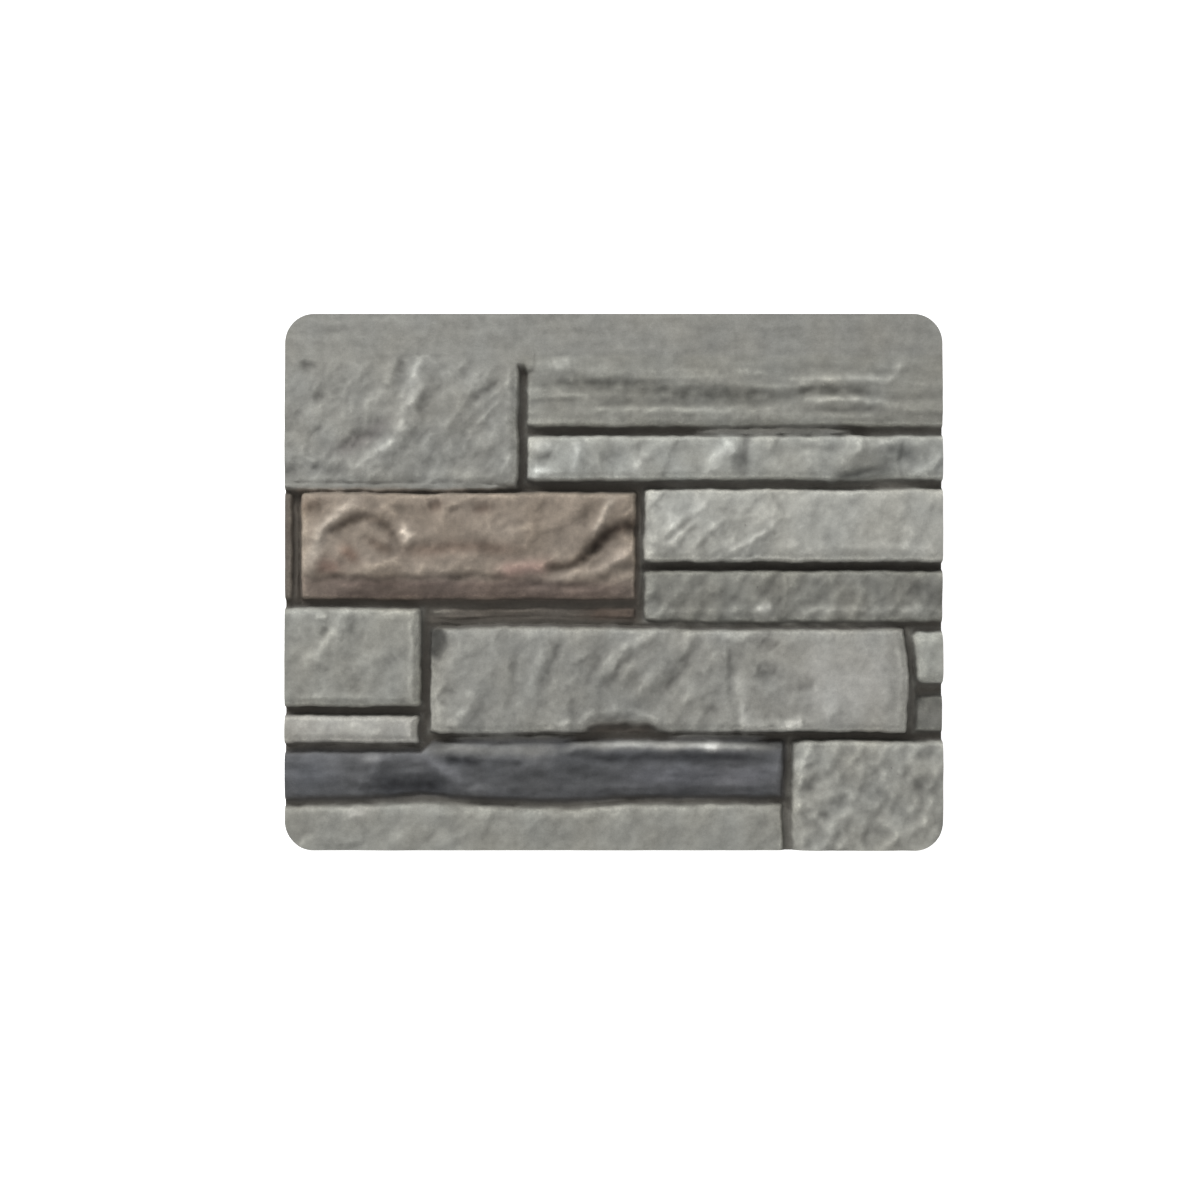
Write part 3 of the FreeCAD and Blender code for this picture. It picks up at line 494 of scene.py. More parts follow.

# Patches of another colour on each stone, many of them painted light and shade on its relief: colour,
# strength, half width and the points that it follows
Patch = namedtuple("Patch", "name tone strength width points")
PATCHES = {
    "tall_stone": [
        Patch("ridge_light", (156, 156, 151), 0.45, 6.4,
              [(422, 358), (409, 388), (402, 422), (378, 454), (350, 472)]),
        Patch("hollow_shade", (122, 118, 116), 0.6, 5.0, [(388, 420), (368, 436), (336, 453)]),
    ],
    "slate": [
        Patch("band_shade", (112, 112, 106), 0.8, 5.0, [(536, 384), (600, 385), (700, 393), (796, 396)]),
        Patch("low_band_shade", (118, 118, 112), 0.6, 2.6, [(590, 404), (760, 405)]),
        Patch("lip_shade", (112, 112, 106), 0.7, 2.6, [(796, 391), (876, 392)]),
        Patch("lip_light", (160, 160, 154), 0.45, 2.8, [(790, 382), (860, 378), (886, 381), (905, 358)]),
        Patch("second_lip_light", (156, 156, 150), 0.6, 2.6, [(806, 402), (896, 404)]),
        Patch("top_light", (154, 154, 148), 0.6, 4.0, [(552, 366), (572, 360)]),
    ],
    "brown_stone": [
        # Painted shade on the brown stone's lower ledges, which face down, away from the light
        Patch("brown_upper_ledge", (102, 90, 84), 0.9, 4.4,
              [(292, 583), (400, 584), (520, 586), (644, 588)]),
        Patch("brown_lower_ledge", (102, 90, 84), 0.9, 5.0, [(290, 594), (400, 595), (646, 596)]),
        Patch("red_blotch", (134, 104, 88), 0.5, 4.0, [(344, 548), (356, 560)]),
        Patch("red_blotch_two", (128, 98, 88), 0.5, 4.6, [(318, 564), (340, 568)]),
        Patch("red_blotch_three", (154, 126, 118), 0.6, 5.0, [(500, 571), (548, 566)]),
        Patch("red_band", (118, 100, 88), 0.6, 4.4, [(404, 552), (470, 547), (520, 551)]),
        Patch("dark_corner", (112, 98, 86), 0.6, 5.0, [(300, 508), (322, 504)]),
        Patch("dark_spot", (92, 76, 66), 0.7, 3.6, [(430, 508), (442, 503)]),
        Patch("dark_spot_two", (96, 80, 70), 0.6, 3.4, [(474, 511), (490, 507)]),
        Patch("arc_light", (168, 160, 150), 0.6, 4.0, [(354, 504), (326, 526), (309, 568)]),
        Patch("boss_light", (190, 180, 168), 0.6, 3.2, [(402, 529), (411, 541)]),
        Patch("right_ridge_light", (170, 162, 152), 0.6, 3.0, [(612, 498), (594, 534)]),
        Patch("lip_band_light", (160, 150, 140), 0.6, 3.6,
              [(556, 577), (598, 570), (620, 558), (638, 545)]),
        # Painted shade on the wall of the crescent groove that faces down
        Patch("crescent_tail_dark", (74, 62, 52), 0.7, 3.0, [(546, 568), (572, 564), (590, 553)]),
        Patch("crescent_dark", (54, 43, 35), 0.9, 5.4, [(588, 553), (602, 540), (614, 530), (640, 524)]),
        Patch("arc_dark", (88, 74, 62), 0.45, 2.8,
              [(326, 534), (350, 521), (374, 518), (388, 529), (398, 545)]),
        Patch("eye_dark", (96, 80, 68), 0.6, 3.4, [(368, 541), (392, 552)]),
    ],
    "dark_slate": [
        Patch("slate_left", (100, 102, 106), 0.9, 13.0, [(280, 774), (346, 772)]),
        Patch("slate_left_light", (146, 147, 148), 0.7, 2.2, [(364, 759), (380, 756)]),
        Patch("slate_blotch", (108, 109, 114), 0.6, 3.4, [(736, 777), (770, 773)]),
        Patch("slate_black", (56, 57, 60), 0.92, 9.0, [(374, 786), (450, 788)]),
        Patch("slate_foot", (76, 77, 80), 0.7, 3.6, [(480, 797), (600, 795), (780, 795)]),
        Patch("slate_ridge", (104, 105, 108), 0.75, 4.2, [(408, 750), (436, 764), (462, 780)]),
        # Painted highlight on the top edge of the dark slate, which faces up into the light
        Patch("slate_ledge", (126, 126, 123), 0.85, 3.4, [(426, 749), (500, 750), (556, 750)]),
        Patch("slate_notch", (50, 51, 54), 0.8, 2.8, [(446, 761), (478, 763)]),
        Patch("slate_notch_two", (66, 67, 69), 0.6, 2.2, [(494, 763), (522, 765)]),
        Patch("slate_under_rim", (62, 63, 66), 0.7, 3.2, [(590, 759), (680, 758), (772, 758)]),
        # Painted highlight on the slate's top rim
        Patch("slate_rim", (150, 150, 146), 0.9, 2.4, [(566, 750), (586, 745), (680, 745), (778, 746)]),
        Patch("slate_spot", (196, 196, 192), 0.9, 2.6, [(706, 746), (718, 745)]),
        Patch("slate_blue", (102, 103, 108), 0.7, 7.0, [(620, 778), (770, 776)]),
    ],
    "recess_sliver": [
        Patch("sliver_brown", (90, 78, 70), 0.8, 6.0, [(588, 613), (640, 613)]),
        Patch("sliver_light", (108, 106, 100), 0.6, 3.0, [(420, 611), (452, 610)]),
    ],
    "long_stone": [
        Patch("end_chip", (70, 69, 66), 0.95, 7.4, [(430, 626), (435, 642), (429, 658)]),
        # Painted shadow, brownish, under the foot of the long stone, over its chip
        Patch("chip_brown", (88, 78, 70), 0.9, 5.0, [(586, 734), (612, 729), (656, 734)]),
        Patch("boss_spot", (190, 190, 184), 0.8, 3.8, [(784, 727), (804, 722)]),
        Patch("strip_spot", (170, 170, 165), 0.6, 3.2, [(743, 690), (745, 726)]),
        Patch("left_shade", (134, 134, 129), 0.7, 22.0, [(470, 680), (690, 680)]),
        Patch("right_light", (170, 169, 164), 0.9, 27.0, [(800, 684), (890, 680)]),
        Patch("pit_shade", (126, 125, 120), 0.6, 6.0, [(764, 638), (776, 648)]),
        Patch("second_pit_shade", (130, 129, 124), 0.6, 6.0, [(756, 668), (776, 676)]),
        Patch("third_pit_shade", (130, 129, 124), 0.7, 4.6, [(798, 686), (814, 682)]),
        Patch("middle_shade", (132, 132, 127), 0.6, 8.0, [(740, 650), (772, 690)]),
    ],
    "left_strip": [
        Patch("strip_spots", (178, 178, 172), 0.5, 3.4, [(344, 727), (376, 731)]),
    ],
    "upper_strip": [
        Patch("end_light", (186, 188, 184), 0.6, 3.2, [(532, 446), (554, 446)]),
        Patch("end_light_low", (186, 188, 184), 0.6, 3.2, [(532, 473), (554, 472)]),
        Patch("rib_light", (176, 178, 174), 0.6, 3.4, [(579, 440), (575, 474)]),
        Patch("second_rib_light", (180, 181, 176), 0.6, 3.0, [(646, 455), (631, 474)]),
        Patch("facet_light", (180, 182, 177), 0.7, 5.4, [(732, 440), (714, 460), (704, 476)]),
        Patch("facet_shade", (124, 124, 120), 0.6, 3.0, [(749, 436), (744, 458), (740, 478)]),
        Patch("strip_chip", (102, 104, 101), 0.8, 4.0, [(832, 478), (868, 472), (896, 470)]),
        Patch("strip_pit", (116, 118, 115), 0.7, 6.0, [(884, 448), (916, 457)]),
    ],
    "shelf": [
        Patch("shelf_spot", (178, 178, 172), 0.8, 3.4, [(757, 611), (774, 608)]),
        Patch("shelf_pit", (106, 105, 100), 0.6, 4.0, [(760, 594), (774, 588)]),
        Patch("shelf_end", (106, 106, 102), 0.6, 6.0, [(906, 588), (944, 592)]),
        Patch("shelf_foot", (148, 148, 142), 0.6, 3.4, [(800, 610), (940, 610)]),
    ],
    "right_recess": [
        Patch("recess_shade", (88, 88, 84), 0.8, 5.0, [(916, 696), (944, 697)]),
        Patch("recess_light", (132, 132, 127), 0.6, 4.6, [(930, 718), (944, 716)]),
    ],
    "base_stone": [
        Patch("base_light", (166, 165, 160), 0.6, 4.0, [(348, 815), (370, 811)]),
    ],
}


def linear(tone):
    """A 0 to 255 screen colour as linear light."""
    share = np.asarray(tone, float) / 255
    return np.where(share <= 0.04045, share / 12.92, ((share + 0.055) / 1.055) ** 2.4)


def from_photo(points):
    """Pixels of the photograph as places on the face, from the middle of the panel."""
    pixels = np.asarray(points, float)
    across = (pixels[:, 0] - PANEL_CENTRE_PIXEL[0]) * MM_PER_PIXEL
    up = (PANEL_CENTRE_PIXEL[1] - pixels[:, 1]) * MM_PER_PIXEL
    return np.stack([across, up], axis=1)


def smooth(value, start, end):
    """0 before start, 1 after end, and a smooth rise between them."""
    share = np.clip((value - start) / (end - start), 0, 1)
    return share * share * (3 - 2 * share)


def blur(field, radius):
    """A soft blur of a map, radius in millimetres. The rim is continued outwards first."""
    pad = int(3 * radius / MAP_STEP) + 1
    wide = np.pad(field, pad, mode="edge")
    up = np.fft.fftfreq(wide.shape[0], MAP_STEP)[:, None]
    across = np.fft.rfftfreq(wide.shape[1], MAP_STEP)[None, :]
    kernel = np.exp(-2 * (math.pi * radius) ** 2 * (up * up + across * across))
    soft = np.fft.irfft2(np.fft.rfft2(wide) * kernel, s=wide.shape)
    return soft[pad:-pad, pad:-pad]


def noise(x, y, seed, size, octaves=4, gain=0.5, turn=0.0, stretch=1.0, ridged=False):
    """Layered gradient noise about 0. size is its largest feature, turn its angle in degrees."""
    generator = np.random.default_rng(seed)
    angle = math.radians(turn)
    along = (x * math.cos(angle) + y * math.sin(angle)) / stretch
    aside = -x * math.sin(angle) + y * math.cos(angle)
    made = np.zeros_like(x)
    strength = 1.0
    scale = 1.0 / size
    for _ in range(octaves):
        bearings = generator.random((CELLS, CELLS)) * 2 * math.pi
        shift = generator.random(2) * CELLS
        u = along * scale + shift[0]
        v = aside * scale + shift[1]
        column = np.floor(u).astype(int)
        row = np.floor(v).astype(int)
        u -= column
        v -= row
        ease_u = u * u * u * (u * (u * 6 - 15) + 10)
        ease_v = v * v * v * (v * (v * 6 - 15) + 10)

        def corner(step_u, step_v):
            bearing = bearings[(row + step_v) % CELLS, (column + step_u) % CELLS]
            return np.cos(bearing) * (u - step_u) + np.sin(bearing) * (v - step_v)

        lower = corner(0, 0) * (1 - ease_u) + corner(1, 0) * ease_u
        upper = corner(0, 1) * (1 - ease_u) + corner(1, 1) * ease_u
        layer = (lower * (1 - ease_v) + upper * ease_v) * NOISE_GAIN
        if ridged:
            layer = 0.5 - 2 * np.abs(layer)
        made += layer * strength
        strength *= gain
        scale *= 2
    return made


def facets(x, y, seed, size, tilt, turn=0.0, stretch=1.0):
    """Chiselled facets: each cell of a jittered grid is a plane with its own tilt, blended at its edges."""
    generator = np.random.default_rng(seed)
    angle = math.radians(turn)
    u = (x * math.cos(angle) + y * math.sin(angle)) / (size * stretch) + FACET_SHIFT
    v = (-x * math.sin(angle) + y * math.cos(angle)) / size + FACET_SHIFT
    jitter = generator.random((CELLS, CELLS, 2))
    slope = generator.normal(0, tilt, (CELLS, CELLS, 2))
    step = generator.normal(0, tilt * 0.3, (CELLS, CELLS))
    column = np.floor(u).astype(int)
    row = np.floor(v).astype(int)
    total = np.zeros_like(x)
    weights = np.zeros_like(x)
    for step_v in (-1, 0, 1):
        for step_u in (-1, 0, 1):
            cell = ((row + step_v) % CELLS, (column + step_u) % CELLS)
            away_u = u - (column + step_u + jitter[..., 0][cell])
            away_v = v - (row + step_v + jitter[..., 1][cell])
            weight = np.exp(-FACET_SHARPNESS * (away_u * away_u + away_v * away_v))
            plane = slope[..., 0][cell] * away_u + slope[..., 1][cell] * away_v + step[cell]
            total += weight * plane * size
            weights += weight
    return total / (weights + 1e-9)


def hew_split(x, y, seed, size, turn):
    """A split face: lumps drawn out along the split, with a few chiselled planes."""
    return (
        1.25 * noise(x, y, seed, size, 2, gain=0.4, turn=turn, stretch=1.6)
        + 0.28 * noise(x, y, seed + 1, size * 0.5, 2, turn=turn - 6, stretch=1.4, ridged=True)
        + facets(x, y, seed + 2, size * 1.2, 0.05, turn=turn, stretch=1.5)
    )


def hew_layers(x, y, seed, size, turn):
    """Thin beds of slate that crop out one above the other."""
    return (
        1.1 * noise(x, y, seed, size, 2, gain=0.45, turn=turn + 1, stretch=8)
        + 0.45 * noise(x, y, seed + 1, size * 2, 2, turn=turn - 3, stretch=3)
        + 0.12 * noise(x, y, seed + 2, size * 0.5, 2, stretch=6)
    )


def hew_bumps(x, y, seed, size, turn):
    """A face broken into rounded bumps and pits."""
    return (
        1.5 * noise(x, y, seed, size, 2, gain=0.35, turn=turn, stretch=1.35)
        + 0.16 * noise(x, y, seed + 1, size * 0.4, 2)
    )


def hew_strip(x, y, seed, size, turn):
    """Short upright breaks along a low strip."""
    return (
        1.1 * noise(x, y, seed, size, 2, gain=0.4, turn=turn, stretch=1.3)
        + facets(x, y, seed + 1, size, 0.12, turn=turn - 5, stretch=1.4)
        + 0.15 * noise(x, y, seed + 2, size * 0.35, 2)
    )


def hew_slate(x, y, seed, size, turn):
    """Smooth dark slate with shallow flakes."""
    return (
        0.7 * noise(x, y, seed, size * 0.6, 3, turn=turn, stretch=3.5)
        + facets(x, y, seed + 1, size * 1.3, 0.07, turn=turn + 8, stretch=2)
        + 0.1 * noise(x, y, seed + 2, size * 0.22, 2, stretch=3)
    )


def hew_plain(x, y, seed, size, turn):
    """The nearly smooth ledge, with faint streaks along it."""
    return (
        0.3 * noise(x, y, seed, size, 2, turn=turn, stretch=8)
        + 0.08 * noise(x, y, seed + 1, size * 0.4, 2, turn=turn, stretch=5)
    )


HEWING = {
    "split": hew_split, "layers": hew_layers, "bumps": hew_bumps, "strip": hew_strip, "slate": hew_slate,
    "plain": hew_plain,
}


def rounded_line(points, steps=6):
    """A smooth line through given points."""
    points = np.asarray(points, float)
    if len(points) == 2:
        return points
    ends = np.vstack([2 * points[0] - points[1], points, 2 * points[-1] - points[-2]])
    made = []
    for before, start, end, after in zip(ends, ends[1:], ends[2:], ends[3:]):
        for share in np.arange(steps) / steps:
            made.append(0.5 * (
                2 * start + (end - before) * share
                + (2 * before - 5 * start + 4 * end - after) * share ** 2
                + (3 * start - before - 3 * end + after) * share ** 3
            ))
    made.append(points[-1])
    return np.array(made)


def line_field(x, y, points, width, fade):
    """1 on a line, falling to 0 at its sides and towards its ends."""
    line = rounded_line(from_photo(points))
    nearest = np.full(x.shape, 1e9)
    side = np.zeros_like(x)
    along = np.zeros_like(x)
    lengths = np.linalg.norm(np.diff(line, axis=0), axis=1)
    total = lengths.sum()
    done = 0.0
    for start, end, length in zip(line, line[1:], lengths):
        way = (end - start) / length
        from_x = x - start[0]
        from_y = y - start[1]
        share = np.clip(from_x * way[0] + from_y * way[1], 0, length)
        gap = np.hypot(from_x - share * way[0], from_y - share * way[1])
        nearer = gap < nearest
        nearest = np.where(nearer, gap, nearest)
        side = np.where(nearer, way[0] * from_y - way[1] * from_x, side)
        along = np.where(nearer, done + share, along)
        done += length
    reach = np.where(side < 0, fade, width)
    rise = (-0.15 * total, 0.2 * total)
    taper = smooth(along, *rise) * smooth(total - along, *rise)
    return np.exp(-(nearest / reach) ** 2) * taper


class Face:
    """The height map of the face, with the stone that each of its points belongs to."""

    def __init__(self):
        self.x_line = np.arange(-LENGTH / 2, LENGTH / 2 + MAP_STEP / 2, MAP_STEP)
        self.y_line = np.arange(-HEIGHT / 2, HEIGHT / 2 + MAP_STEP / 2, MAP_STEP)
        self.x, self.y = np.meshgrid(self.x_line, self.y_line)
        self.find_stones()
        self.read_base()
        self.add_relief()
        self.shape_height()
        self.find_shading()

    def wander(self):
        """Places from which the moulded stones are read, so that their edges wander as cast stone does."""
        x, y = self.x, self.y
        rim = np.minimum(LENGTH / 2 - np.abs(x), HEIGHT / 2 - np.abs(y))
        hold = smooth(rim, 0, WANDER_START)
        across = 0.9 * noise(x, y, 11, 26, 2) + 0.5 * noise(x, y, 12, 7, 2)
        up = 0.8 * noise(x, y, 13, 30, 2, stretch=1.5) + 0.5 * noise(x, y, 14, 7, 2, stretch=1.4)
        read_x = x + across * hold
        read_y = y + up * hold
        for pull in PULLS:
            spot_x, spot_y = from_photo([pull.spot])[0]
            felt = np.exp(-((x - spot_x) / pull.reach_across) ** 2 - ((y - spot_y) / pull.reach_up) ** 2)
            read_x = read_x - pull.right * felt
            read_y = read_y - pull.up * felt
        return read_x, read_y

    def find_stones(self):
        """The stone at each point, and how far inside the lines around the stone the point lies."""
        self.read_x, self.read_y = self.wander()
        x = self.read_x + LENGTH / 2
        y = self.read_y + HEIGHT / 2
        shift = np.interp(x, [place for place, _ in DARK_WAVE], [rise for _, rise in DARK_WAVE])
        inside = []
        merged = []
        for name, area in AREAS.items():
            bottom = area.bottom + (shift if name == "dark_slate" else 0)
            top = area.top + (shift if name == "base_stone" else 0)
            if name == "dark_slate":
                top = np.interp(x, SLATE_STEP, (LEFT_STRIP_LINE, area.top))
            across = np.minimum(x - area.left, area.right - x)
            inside.append(np.minimum.reduce([across, y - bottom, top - y]))
            bottom = bottom - (LEDGE_MERGE if name == "ledge" else 0)
            top = top + (LEDGE_MERGE if name in UNDER_LEDGE else 0)
            merged.append(np.minimum.reduce([across, y - bottom, top - y]))
        self.stone = np.argmax(np.stack(inside), axis=0)
        self.depth = np.max(np.stack(merged), axis=0)
        self.on_face = smooth(self.depth, *FACE_START)

    def is_stone(self, name, window=...):
        """Which points of the map, or of a window of it, belong to a stone."""
        return self.stone[window] == NAMES.index(name)

    def read_base(self):
        """Drop a ray on the CAD node at every point of the map."""
        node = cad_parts[NODE]
        tree = BVHTree.FromPolygons(
            [vertex.co for vertex in node.data.vertices],
            [polygon.vertices for polygon in node.data.polygons],
        )
        corner_x = np.clip(self.read_x, -LENGTH / 2 + CORNER_RADIUS, LENGTH / 2 - CORNER_RADIUS)
        corner_y = np.clip(self.read_y, -HEIGHT / 2 + CORNER_RADIUS, HEIGHT / 2 - CORNER_RADIUS)
        out_x = self.read_x - corner_x
        out_y = self.read_y - corner_y
        out = np.hypot(out_x, out_y)
        limit = np.minimum(1, (CORNER_RADIUS - RAY_INSET) / np.maximum(out, 1e-6))
        x = (corner_x + out_x * limit) * MM
        y = (corner_y + out_y * limit) * MM
        above = high.z + 1
        down = Vector((0, 0, -1))
        base = np.full(x.size, FLOOR)
        for index, (place_x, place_y) in enumerate(zip(x.ravel(), y.ravel())):
            hit = tree.ray_cast(Vector((place_x, place_y, above)), down)[0]
            if hit is not None:
                base[index] = hit.z / MM
        self.base = base.reshape(x.shape)

    def window(self, left, right, bottom, top):
        """The part of the map between four sides, given from the middle of the panel."""
        columns = (self.x_line > left) & (self.x_line < right)
        rows = (self.y_line > bottom) & (self.y_line < top)
        return np.ix_(rows, columns)

    def stroke(self, points, width, fade=None):
        """A line on the face as a part of the map and how strongly it marks each point there."""
        fade = fade or width
        spots = from_photo(points)
        reach = 3 * max(width, fade) + 2
        left, bottom = spots.min(axis=0) - reach
        right, top = spots.max(axis=0) + reach
        window = self.window(left, right, bottom, top)
        return window, line_field(self.mark_x[window], self.mark_y[window], points, width, fade)

    def add_texture(self, made):
        """Hew the face of each stone, before the marks that it shares with the photograph."""
        over = 6
        for name, hewn in TEXTURES.items():
            area = AREAS[name]
            window = self.window(area.left - LENGTH / 2 - over, area.right - LENGTH / 2 + over,
                                 area.bottom - HEIGHT / 2 - over, area.top - HEIGHT / 2 + over)
            x = self.x[window]
            y = self.y[window]
            texture = HEWING[hewn.kind](x, y, hewn.seed, hewn.size, hewn.turn) * hewn.strength
            if name in UNDER_LEDGE:
                texture = texture * smooth(LEDGE_LINE - HEIGHT / 2 + 1 - y, 0, 9)
            if name in CALM_ENDS:
                share, start, end = CALM_ENDS[name]
                texture = texture * (1 - share * smooth(x, start, end))
            made[window] = np.where(self.is_stone(name, window), texture, made[window])

    def add_relief(self):
        """The hewn texture and the marks, as heights above or below the moulded face."""
        made = np.zeros_like(self.x)
        self.add_texture(made)
        made *= self.on_face
        self.mark_x = self.x + MARK_WANDER * noise(self.x, self.y, 15, 12, 2)
        self.mark_y = self.y + MARK_WANDER * noise(self.x, self.y, 16, 12, 2)
        uneven = np.clip(1 + 0.6 * noise(self.x, self.y, 17, 9, 2), 0.4, 1.5)
        for name, marks in MARKS.items():
            for mark in marks:
                window, field = self.stroke(mark.points, mark.width, mark.fade)
                here = self.is_stone(name, window) * smooth(self.depth[window], *MARK_START)
                made[window] += mark.height * field * here * uneven[window]
        self.relief = blur(made, RELIEF_SOFTNESS)

    def shape_height(self):
        """The final height: the moulded face with rounded-down shoulders, its filled joints and chips, and
        the relief.
        """
        inner = smooth(self.depth, 2.0, 7.0)
        base = blur(self.base, EDGE_SOFTNESS) * (1 - inner) + blur(self.base, FACE_SOFTNESS) * inner
        base = base - LONG_STONE_DROP * self.is_stone("long_stone") * self.on_face
        shoulder = 1 - smooth(self.depth, 1.2, 6.0)
        base = np.maximum(base - SHOULDER_WEAR * shoulder ** 2, FLOOR)
        base = self.close_joint_head(self.fill_joints(base))
        base = self.chip_edges(base)
        rough = CAST_ROUGHNESS * noise(self.x, self.y, 81, 2.4, 2)
        height = blur(base, 0.3) + self.relief + rough
        knee = TOP - CEILING_GAP - CEILING_KNEE
        over = height - knee
        bent = knee + CEILING_KNEE * np.tanh(np.maximum(over, 0) / CEILING_KNEE)
        height = np.where(over > 0, bent, height)
        self.height = np.maximum(height, FLOOR + rough)

    def fill_joints(self, base):
        """Raise the floor of the joints that are nearly closed."""
        self.closed = np.zeros_like(base)
        for fill in FILLS:
            window, field = self.stroke(fill.points, fill.width)
            share = smooth(field, 0.0, 0.8)
            base[window] = np.maximum(base[window], FLOOR + (fill.level - FLOOR) * share)
            closed = share * smooth(fill.level, FLOOR, FLOOR + FULL_FILL)
            self.closed[window] = np.maximum(self.closed[window], closed)
        return base

    def close_joint_head(self, base):
        """The joint beside the tall stone runs out softly under the ledge, with a rounded head."""
        below = LEDGE_LINE - HEIGHT / 2 - self.y
        aside = np.abs(self.x - TALL_END + LENGTH / 2)
        below = below - 4 * smooth(aside, 1.5, 5)
        near = 1 - smooth(aside, 7, 15)
        ramp = FLOOR + (LEDGE_LEVEL - FLOOR) * (1 - smooth(below, 4.5, 10)) * near
        self.closed = np.maximum(self.closed, near * (1 - smooth(below, 5.5, 9.5)))
        return np.maximum(base, ramp)

    def chip_edges(self, base):
        """Break the chips out of the edges of the stones."""
        self.chipped = np.zeros_like(base)
        for chip in CHIPS:
            window, field = self.stroke(chip.points, chip.width)
            field = smooth(field, 0.1, 0.95)
            self.chipped[window] = np.maximum(self.chipped[window], field)
            base[window] = np.minimum(base[window], base[window] * (1 - field) + chip.level * field)
        return base

    def find_shading(self):
        """High spots and hollows for brush, wash and painted light and shade, and how sunk each point is."""
        near = self.height - blur(self.height, 1.6)
        wide = self.height - blur(self.height, 4.5)
        patchy = 0.75 + 0.6 * noise(self.x, self.y, 85, 14, 2)
        # High spots and hollows: dry-brushed paint with painted highlight, dark wash with painted shade
        self.wear_and_shading = np.clip(near * 1.1, -1, 1) * np.clip(patchy, 0.2, 1.3)
        self.wear_and_shading *= 1 - 0.7 * self.is_stone("dark_slate")
        self.wear_and_shading = np.minimum(self.wear_and_shading, 1 - np.maximum(self.chipped, self.closed))
        self.sunk = smooth(-wide, 1.0, 4.2)
        # Relief against its surroundings, for painted light where it stands high and painted shade where it
        # sinks
        self.tone = self.relief - blur(self.relief, 9.0)

    def paint(self):
        """Linear colour of every point of the map."""
        x, y = self.x, self.y
        colour = self.stone_colours()
        cloud = 0.08 * noise(x, y, 91, 24, 3) + 0.12 * noise(x, y, 92, 8, 3)
        cloud += 0.30 * noise(x, y, 94, 9, 3, stretch=5) * self.is_stone("dark_slate")
        warm = 0.008 + 0.015 * noise(x, y, 93, 30, 2)
        colour = colour * (1 + cloud[..., None]) * (1 + warm[..., None] * np.array(WARMTH))
        # Painted light and shade that follow the relief
        colour = colour * np.exp(RELIEF_LIGHT_AND_SHADE * np.clip(self.tone, -2.5, 2.0))[..., None]
        # Dry-brushed paint and painted highlight on high spots, dark wash and painted shade in hollows
        wear_and_shading = self.wear_and_shading[..., None]
        colour = colour * (1 + HIGH_BRUSH_AND_HIGHLIGHT * np.maximum(wear_and_shading, 0) + HOLLOW_WASH_AND_SHADE * np.minimum(wear_and_shading, 0))
        return self.darken_joints(colour)

    def stone_colours(self):
        """Each stone's tone with its patches, painted light and shade among them, a little blurred at the
        edges.
        """
        tones = np.array([linear(TONES[name]) for name in NAMES])
        colour = tones[self.stone]
        for name, patches in PATCHES.items():
            for patch in patches:
                window, field = self.stroke(patch.points, patch.width)
                field = (field * patch.strength * self.is_stone(name, window))[..., None]
                colour[window] = colour[window] * (1 - field) + linear(patch.tone) * field
        return np.stack([blur(colour[..., band], PAINT_SOFTNESS) for band in range(3)], axis=-1)

    def darken_joints(self, colour):
        """Dark joint paint and painted shade in and beside the joints, less of both where they are filled.
        """
        # Dark joint paint, with painted shade, down the walls and floors of the joints
        joint = self.sunk * (1 - smooth(self.depth, 1.2, 3.0) * smooth(self.height - FLOOR, 1.0, 6.0))
        joint = joint * (1 - 0.5 * self.closed)
        # Painted shade that spreads about 5 mm from the middle of a joint onto the stones
        shade = (1 - smooth(self.depth, 0.2, 5.0)) * (1 - 0.85 * self.closed)
        blend = blur(np.maximum(0.9 * joint, shade), 0.5)[..., None] * JOINT_COVER
        colour = colour * (1 - blend) + linear(JOINT_PAINT_AND_SHADE_TONE) * blend
        # Painted shade in the darkest joints
        for painted_shade in PAINTED_JOINT_SHADES:
            window, field = self.stroke(painted_shade.points, painted_shade.width)
            colour[window] *= 1 - painted_shade.strength * field[..., None]
        return colour

    def sample(self, field, x, y):
        """Read a map at any place on the face."""
        column = np.clip((x + LENGTH / 2) / MAP_STEP, 0, len(self.x_line) - 1.001)
        row = np.clip((y + HEIGHT / 2) / MAP_STEP, 0, len(self.y_line) - 1.001)
        left = column.astype(int)
        lower = row.astype(int)
        share_x = column - left
        share_y = row - lower
        if field.ndim == 3:
            share_x = share_x[:, None]
            share_y = share_y[:, None]
        near = field[lower, left] * (1 - share_x) + field[lower, left + 1] * share_x
        far = field[lower + 1, left] * (1 - share_x) + field[lower + 1, left + 1] * share_x
        return near * (1 - share_y) + far * share_y


def face_rows():
    """Heights of the rows of the mesh with the half length of each. They crowd at the rounded corners."""
    straight = HEIGHT / 2 - CORNER_RADIUS
    middle = np.linspace(-straight, straight, int(2 * straight / MAP_STEP) + 1)
    turn = np.linspace(0, math.pi / 2, CORNER_ROWS + 1)[1:]
    arc_y = straight + CORNER_RADIUS * np.sin(turn)
    arc_x = LENGTH / 2 - CORNER_RADIUS + CORNER_RADIUS * np.cos(turn)
    rows = np.concatenate([-arc_y[::-1], middle, arc_y])
    halves = np.concatenate([arc_x[::-1], np.full(len(middle), LENGTH / 2), arc_x])
    return rows, halves


